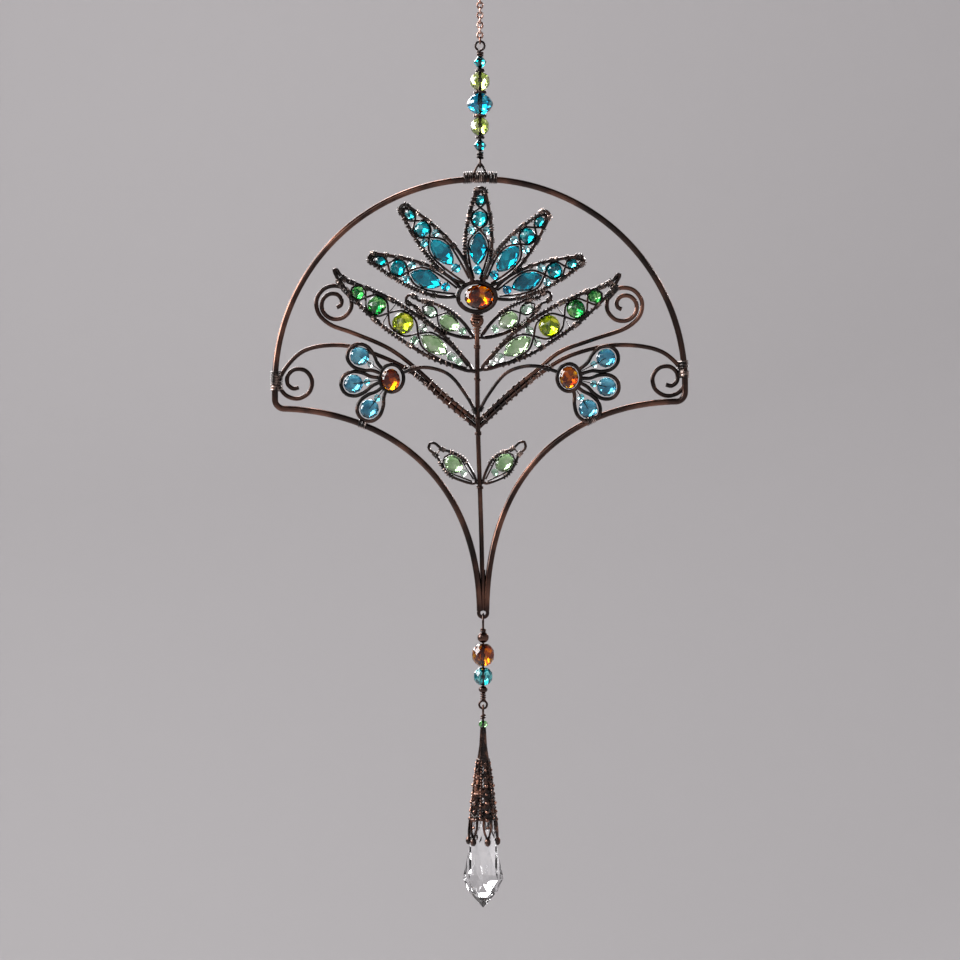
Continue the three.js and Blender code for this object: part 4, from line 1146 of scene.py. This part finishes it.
tie = {"wing": {"left": (-36.6, 78.4), "right": (35.0, 78.4)},
       "leafTip": {"left": (-43.2, 37.4), "right": (42.2, 38.2)},
       "touches": {"left": [(-4.0, 2.2, 12)], "right": [(-7.5, -5.1, 5), (-4.4, -2.0, 5)]}}


def makeBindings(lines):
    # Thin wire around the two scrolls of each side, and around the frame where they touch it.
    for side in signOf:
        runs = []
        upper, lower = lines[side + "upper"], lines[side + "lower"]
        upperLengths = lengthsOf(upper)
        middle, gaps = [], []
        for index in range(60):  # the line halfway between the two wires of the V
            spot = spotOn(upper, upperLengths, 1.0 + index * scroll["bindingPitch"])[0]
            nearest = min(lower, key=lambda point: (point - spot).length)
            middle.append((spot + nearest) / 2)
            gaps.append(nearest - spot)
        wraps = []
        steps, thin = scroll["bindingTurns"] * 20, scroll["thin"]
        for i in range(steps + 1):
            along = 1.2 + i / steps * 44
            index = int(along)
            gap = gaps[index]
            ahead = (middle[index + 1] - middle[index]).normalized()
            angle = 2 * pi * i / 20
            reach = scroll["wire"] / 2 + thin / 2
            across = sin(angle) * reach + max(-1, min(1, 1.7 * sin(angle))) * gap.length / 2
            spot = middle[index] + (middle[index + 1] - middle[index]) * (along - index)
            wraps.append(spot + gap.normalized() * across + deep * cos(angle) * reach
                         + ahead * dice.uniform(-0.03, 0.03))
        runs.append((wraps, thin, False))
        runs += windings(lower, [(24.5, 27.5, 3), (28.5, 31.2, 3)], scroll["wire"] / 2, thin)
        runs += windings(lower, [(22.0, 23.4, 3)], scroll["wire"] / 2, thin)
        sign = signOf[side]
        frameLine = frameHalf(side)
        frameLengths = lengthsOf(frameLine)
        straight = outerFrame["radius"] * pi / 2
        frameCore = outerFrame["wire"] / 2 + 0.02
        for start, end, turns in tie["touches"][side]:
            spot, ahead = spotOn(frameLine, frameLengths, straight + (start + end) / 2)
            span = (end - start) / 2
            short = [spot - ahead * 4, spot + ahead * 4]
            partner = short[0] + Vector((-sign * 1.0, layout["scrollBehind"], 0))
            runs.append(woundRun(short, 4 - span, 4 + span, turns, frameCore, thin, partner))
        ties = [(frameLine, at(*tie["wing"][side]), 2.6, 5, frameCore, (0, -layout["flowerAhead"], 0.3)),
                (upper, at(*tie["leafTip"][side], layout["scrollBehind"]), 4.6, 9, scroll["wire"] / 2,
                 (sign * 0.5, -layout["scrollBehind"], 0.4))]
        for line, spot, span, turns, core, reach in ties:
            nearest = min(range(1, len(line) - 1), key=lambda index: (line[index] - spot).length)
            along = (line[nearest + 1] - line[nearest - 1]).normalized() * 4
            short = [line[nearest] - along, line[nearest] + along]
            partner = short[0] + Vector(reach)
            runs.append(woundRun(short, 4 - span / 2, 4 + span / 2, turns, core, thin, partner))
        dress(wirePiece(side + "Bindings", runs, 2), "coilCopper")


makeBindings(makeScrolls())
print("stage: scrolls made")


# Side flowers

flower = {
    "wire": 1.25, "stem": 1.2, "ringHalfWidth": 3.8, "ringHalfHeight": 4.4, "centreStone": (7.2, 6.1, 3.8),
    "loop": 3.9, "stone": 6.3, "stoneDepth": 3.9, "bead": 2.3, "thread": 0.3, "thin": 0.38,
    "arch": [(1.9, 4.4, 0), (7.6, 11.4, 0.35), (13, 13.5, 0.8), (18, 13.6, 1)],  # out, up, share ahead
    "left": {"centre": (-28.2, 64.8), "root": 75.1, "loops": [(-38.4, 57.8), (-40.4, 66.6), (-35.3, 74.6)]},
    "right": {"centre": (28.4, 64.6), "root": 74.6, "loops": [(40.2, 58.4), (40.4, 67.6), (34.5, 74.6)]},
}


def makeFlower(side):
    spec = flower[side]
    sign, ahead = signOf[side], -layout["flowerAhead"]
    middle = at(*spec["centre"], ahead)
    ring = ringLine(middle, flower["ringHalfWidth"], flower["ringHalfHeight"], count=56)
    runs = [(ring, flower["wire"], True)]
    beads = []
    for number, spot in enumerate(spec["loops"], 1):
        stoneMiddle = at(*spot, ahead)
        length, forward, place = gridAlong(middle, stoneMiddle)
        half, leg = flower["loop"], flower["wire"] * 0.56
        legStart = length - flower["ringHalfWidth"]
        oneSide = [(legStart, leg), (half * 1.5, half * 0.38), (half * 0.85, half * 0.78), (0, half),
                   (-half * 0.74, half * 0.7)]
        loop = [place(back, left) for back, left in oneSide] + [place(-half * 1.02, 0)]
        loop += [place(back, -left) for back, left in reversed(oneSide)]
        runs.append((smoothLine(loop, 0.5), flower["wire"], False))
        stone(f"{side}FlowerStone{number}", "round", "skyGlass", stoneMiddle, flower["stone"],
              flower["stone"] * 0.97, forward, flower["stoneDepth"], f"{side}_flower_stone_{number}")
        beads.append((place(flower["stone"] / 2 + 1.15, 0), flower["bead"]))
        runs.append(([place(legStart, 0), place(0, 0)], flower["thread"], False))
    root = spec["root"]
    rootX = stemX(root) + sign * (centre["stemWire"] / 2 + 0.1 + flower["stem"] / 2)
    edge = at(spec["centre"][0] - sign * flower["ringHalfWidth"] * 0.93, spec["centre"][1] - 1.8, ahead)
    arch = [at(rootX + sign * out, root - above, ahead * share) for out, above, share in flower["arch"]]
    archLine = smoothLine([at(stemX(root) + sign * 0.3, root + 1.1), *arch, edge], 0.6)
    runs.append((archLine, flower["stem"], False))
    total = lengthsOf(archLine)[-1]
    runs.append(woundRun(archLine, total - 4.6, total - 2.6, 5, flower["stem"] / 2, flower["thin"]))
    runs.append(woundRun(archLine, 0.4, 2.2, 4, flower["stem"] / 2, flower["thin"]))
    dress(wirePiece(side + "FlowerWire", runs, 3), "thinCopper", side + "_flower_wire")
    long, wide, depth = flower["centreStone"]
    shift = Vector((-0.3, 0, -0.6)) if side == "left" else Vector()
    stone(side + "FlowerCentreStone", "oval", "amberGlass", middle + shift, long, wide, up, depth,
          side + "_flower_centre_stone")
    tinyBeads(side + "FlowerBeads", "iceGlass", beads)


for side in signOf:
    makeFlower(side)
print("stage: flowers made")


# Drop: bead link, pierced cap and crystal

drop = {"x": 1.0, "wire": 0.7, "eye": 4.5, "loop": 2.5, "copperBeads": [(3.7, 3.5), (2.9, 2.3)],
        "turnCore": 0.36, "upperTurns": 0.6, "lowerTurns": 0.55}


def makeDropLink():
    x = drop["x"]
    low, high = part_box("drop_link_wire")
    amber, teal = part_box("amber_drop_bead"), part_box("teal_drop_bead")
    beadInBox("amberDropBead", "amber_drop_bead", "bead", "amberGlass", x)
    beadInBox("tealDropBead", "teal_drop_bead", "bead", "tealGlass", x)
    eyeMiddle = Vector((x, 0, high.z / mm - drop["wire"] / 2 - drop["eye"] / 2))
    loopMiddle = Vector((x, 0, low.z / mm + drop["wire"] / 2 + drop["loop"] / 2))
    pin = [Vector((x, 0, eyeMiddle.z - drop["eye"] / 2)), Vector((x, 0, loopMiddle.z + drop["loop"] / 2))]
    (_, topHeight), (_, lowHeight) = drop["copperBeads"]
    topBead = amber[1].z / mm + topHeight / 2 + 0.25
    lowBead = teal[0].z / mm - lowHeight / 2 - 0.25
    upperEnd, lowerStart = pin[0].z - topBead - topHeight / 2, pin[0].z - lowBead + lowHeight / 2
    lines = [
        (ringLine(eyeMiddle, drop["eye"] / 2 * 0.86, drop["eye"] / 2, deep), drop["wire"], True),
        (ringLine(loopMiddle, drop["loop"] / 2, drop["loop"] / 2), drop["wire"], True),
        (pin, drop["wire"], False),
        woundRun(pin, 0.2, upperEnd, 2, drop["turnCore"], drop["upperTurns"]),
        woundRun(pin, lowerStart, pin[0].z - pin[1].z - 0.2, 3, drop["turnCore"], drop["lowerTurns"]),
    ]
    parts = [wirePiece("dropLinkWire", lines)]
    for z, (diameter, height) in zip((topBead, lowBead), drop["copperBeads"]):
        parts.append(spacerDisc("copperBead", Vector((x, 0, z)), diameter, height, ball=True))
    dress(joinPieces("dropLinkWire", parts), "frameCopper", "drop_link_wire")


cap = {  # heights are measured down from the top of its neck
    "top": 176.2, "eyeRadius": 1.45, "neckWraps": 0.55,
    "profile": [(0.0, 0.9), (6.0, 1.25), (10.3, 1.9), (18.0, 3.0), (26.0, 3.85), (32.6, 4.35), (38, 4.5)],
    "neckEnd": 10.4, "shellEnd": 29.6, "wall": 0.45, "columns": 10, "rows": 32, "points": 6, "turn": 18,
    "openings": [(11.9, 15.2), (16.4, 20.2), (22.4, 25.0), (26.0, 28.6)],
    "bands": [(10.4, 0.5), (21.3, 0.6), (29.4, 0.8)], "rib": 0.4, "armWire": 0.75, "loopWire": 0.3,
    "arm": [(29.2, 0.50, 0.1), (31.4, 0.54, 0.15), (33.4, 0.40, 0.2), (35.0, 0.16, 0.2), (36.2, 0.06, 0.2)],
    "dots": [(11.6, 0.8), (13.8, 1.0), (16.2, 1.05), (18.8, 1.3), (21.4, 1.0), (24.2, 1.35), (27.0, 1.3),
             (29.5, 1.4), (32.0, 0.95)],
    "grains": (11.3, 0.98, 19, 0.42, 0.75),  # first, pitch, count, smallest and largest size
    "end": (36.5, 2.1, 2.8), "seed": (2.9, 2.2, 0.75),
}


def capRadius(down):
    return onTable(cap["profile"], down)


def piercedShell(x, topZ):
    # The wall of the cap, with two rows of small openings in each panel.
    first, last, rows = cap["neckEnd"], cap["shellEnd"], cap["rows"]
    sides = cap["columns"] * cap["points"]
    levels = [first + (last - first) * row / rows for row in range(rows + 1)]
    shell = turnedPiece("capShell", [(capRadius(down), topZ - down) for down in levels], sides, x)
    only(shell)
    bpy.ops.object.mode_set(mode="EDIT")
    bpy.ops.mesh.select_mode(type="FACE")
    bpy.ops.mesh.select_all(action="DESELECT")
    mesh = bmesh.from_edit_mesh(shell.data)
    for face in mesh.faces:
        middle = face.calc_center_median() / mm
        down = topZ - middle.z
        turn = Vector((middle.x - x, middle.y)).angle_signed(Vector((0, -1))) / (2 * pi) * cap["points"]
        turn = (turn - cap["turn"] / 360 * cap["points"]) % 1  # nought at the middle of a panel
        column = int(turn * cap["columns"])
        pierced = column in (2, 3, 6, 7) and any(top < down < low for top, low in cap["openings"])
        face.select = len(face.verts) > 4 or pierced
    bmesh.update_edit_mesh(shell.data)
    bpy.ops.mesh.delete(type="FACE")
    bpy.ops.object.mode_set(mode="OBJECT")
    wall = shell.modifiers.new("wall", "SOLIDIFY")
    wall.thickness = cap["wall"] * mm
    wall.offset = -1
    bpy.ops.object.modifier_apply(modifier=wall.name)
    return shell


def makeCap():
    x = drop["x"]
    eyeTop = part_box("crystal_cap")[1].z / mm
    topZ = at(0, cap["top"]).z

    def onCap(down, turn, out=0.0):
        radius = capRadius(down) + out
        return Vector((x + radius * sin(turn), -radius * cos(turn), topZ - down))

    eyeRadius = cap["eyeRadius"]
    eyeMiddle = Vector((x, 0, eyeTop - drop["wire"] / 2 - eyeRadius))
    neck = [Vector((x, 0, eyeMiddle.z - eyeRadius)), Vector((x, 0, topZ - 0.4))]
    runs = [(ringLine(eyeMiddle, eyeRadius, eyeRadius, deep), drop["wire"], True),
            (neck, drop["wire"], False),
            woundRun(neck, 0.15, 1.5, 2, drop["turnCore"], cap["neckWraps"])]
    top = [(capRadius(down), topZ - down) for down in (0, 3, 6, 8.5, cap["neckEnd"] + 0.2)]
    parts = [turnedPiece("capNeck", top, 32, x), piercedShell(x, topZ)]
    spread = pi / cap["points"]
    turns = [radians(cap["turn"]) + 2 * spread * index for index in range(cap["points"])]
    for turn in turns:
        rib = [onCap(cap["neckEnd"] + i * 0.5, turn + spread, 0.12) for i in range(39)]
        runs.append((rib, cap["rib"], False))
        for sign in (-1, 1):
            arm = [onCap(down, turn + sign * spread * share, out) for down, share, out in cap["arm"]]
            runs.append((smoothLine(arm, 0.5), cap["armWire"], False))
            for start, end in cap["openings"]:  # a fine wire around each pair of openings
                stops = [(start, 0.08, 0.1), ((start + end) / 2, 0.86, 0.14), (end, 0.08, 0.1)]
                side = [onCap(down, turn + sign * spread * share, out) for down, share, out in stops]
                runs.append((smoothLine(side, 0.4), cap["loopWire"], False))
    for down, thickness in cap["bands"]:
        radius = capRadius(down) + 0.08
        runs.append((ringLine(Vector((x, 0, topZ - down)), radius, radius, right, deep, 48), thickness, True))
    parts.append(wirePiece("capWires", runs, 2))
    bpy.ops.mesh.primitive_ico_sphere_add(subdivisions=2, radius=0.5)
    ball = bpy.context.object
    bpy.ops.object.shade_smooth()
    balls = []
    firstGrain, grainPitch, grainCount, smallGrain, largeGrain = cap["grains"]
    down, width, height = cap["end"]
    for turn in turns:
        spots = [(onCap(dot, turn, 0.15), size) for dot, size in cap["dots"]]
        for index in range(grainCount):
            size = smallGrain + (largeGrain - smallGrain) * index / (grainCount - 1)
            spots.append((onCap(firstGrain + grainPitch * index, turn + spread, 0.28), size))
        balls += [copyOf(ball, "capBall", Matrix.Translation(spot * mm) @ Matrix.Scale(size * mm, 4))
                  for spot, size in spots]
        size = Matrix.Diagonal((width * mm, width * mm, height * mm, 1))
        parts.append(copyOf(ball, "capEnd", Matrix.Translation(onCap(down, turn, 0.2) * mm) @ size))
    bpy.data.objects.remove(ball)
    dress(joinPieces("crystalCap", parts), "castCopper", "crystal_cap")
    dress(joinPieces("capBalls", balls), "dotCopper")
    width, height, lift = cap["seed"]
    stone("seedBead", "tiny", "seedGlass", Vector((x, 0, topZ + lift)), width, height, right, width)


crystal = {  # (radius, down) at each level
    "sides": 8, "top": 201.9, "neck": (3.45, 208.8), "shoulder": (4.7, 214.4), "waist": (6.5, 224.7),
    "belt": (5.0, 228.6), "tip": 234.0,
}


def makeCrystal():
    levels = [(2.4, crystal["top"]), crystal["neck"], crystal["shoulder"], crystal["waist"], crystal["belt"],
              (0.15, crystal["tip"])]
    profile = [(radius, at(0, down).z) for radius, down in levels]
    piece = turnedPiece("crystalDrop", profile, crystal["sides"], drop["x"], smooth=False)
    only(piece)
    bpy.ops.object.mode_set(mode="EDIT")
    pivot = (drop["x"] * mm, 0, 0)
    for radius, down in (crystal["shoulder"], crystal["belt"]):
        z = at(0, down).z * mm
        selectWhere(piece, lambda co: abs(co.z - z) < 1e-5)
        bpy.ops.transform.rotate(value=pi / crystal["sides"], orient_axis="Z", center_override=pivot)
    bpy.ops.mesh.select_all(action="SELECT")
    bpy.ops.mesh.quads_convert_to_tris(quad_method="SHORTEST_DIAGONAL")
    bpy.ops.object.mode_set(mode="OBJECT")
    dress(closeUp(piece, smooth=False), "clearGlass", "crystal_drop")


makeDropLink()
makeCap()
makeCrystal()
for shape in cuts.values():
    bpy.data.objects.remove(shape)
print("stage: drop made")


# Studio: a pale floor that curves up into a bowl, soft lights

studio = {"floor": -0.9, "radius": 2.2, "height": 3.6, "curve": 1.3, "shade": (0.50, 0.482, 0.49),
          "sky": 0.09, "skyShade": (0.93, 0.95, 1.0)}
lamps = [  # name, place, what it points at, size and power
    ("wallLight", (-0.35, 1.0, 0.4), (-0.6, 2.2, 1.0), 0.9, 5.5),
    ("windowLight", (-1.2, -0.05, 0.42), (0, 0, -0.12), 1.0, 40),
    ("topLight", (-0.25, 0.75, 0.85), (0, 0, -0.1), 0.6, 15),
    ("frontLight", (-0.5, -1.3, 0.5), (0, 0, -0.15), 0.6, 2),
    ("softPanel", (-0.44, 1.0, 0.28), (0, 0, -0.12), 0.6, 7),
    ("backRight", (0.70, 0.85, 0.30), (0, 0, -0.15), 0.16, 2.5),
]


def makeStudio():
    bpy.ops.mesh.primitive_cylinder_add(vertices=96, radius=studio["radius"], depth=studio["height"],
                                        location=(0, 0, studio["floor"] + studio["height"] / 2))
    bowl = bpy.context.object
    bpy.ops.object.transform_apply(location=True)
    bpy.ops.object.mode_set(mode="EDIT")
    topZ = studio["floor"] + studio["height"]
    selectWhere(bowl, lambda co: abs(co.z - topZ) < 0.01)
    bpy.ops.mesh.delete(type="ONLY_FACE")
    selectWhere(bowl, lambda co: abs(co.z - studio["floor"]) < 0.01)
    bpy.ops.mesh.select_mode(type="EDGE")
    bpy.ops.mesh.bevel(offset=studio["curve"], segments=18, affect="EDGES")
    bpy.ops.mesh.select_all(action="SELECT")
    bpy.ops.mesh.flip_normals()
    bpy.ops.object.mode_set(mode="OBJECT")
    bpy.ops.object.shade_smooth()
    bowl.name = "studioBowl"
    paint, _, _, shader = newMaterial("studioPaint")
    shader.inputs["Roughness"].default_value = 0.9
    shader.inputs["Base Color"].default_value = (*studio["shade"], 1)
    bowl.data.materials.append(paint)
    world = bpy.context.scene.world or bpy.data.worlds.new("softSky")
    bpy.context.scene.world = world
    world.use_nodes = True
    sky = world.node_tree.nodes["Background"]
    sky.inputs["Color"].default_value = (*studio["skyShade"], 1)
    sky.inputs["Strength"].default_value = studio["sky"]
    bpy.context.scene.view_settings.view_transform = "Standard"
    for name, place, aim, size, power in lamps:
        bpy.ops.object.light_add(type="AREA", location=place)
        lamp = bpy.context.object
        lamp.name = name
        lamp.data.size = size
        lamp.data.energy = power
        lamp.visible_camera = False
        lamp.rotation_euler = (Vector(aim) - Vector(place)).to_track_quat("-Z", "Y").to_euler()


makeStudio()
print("stage: studio made")
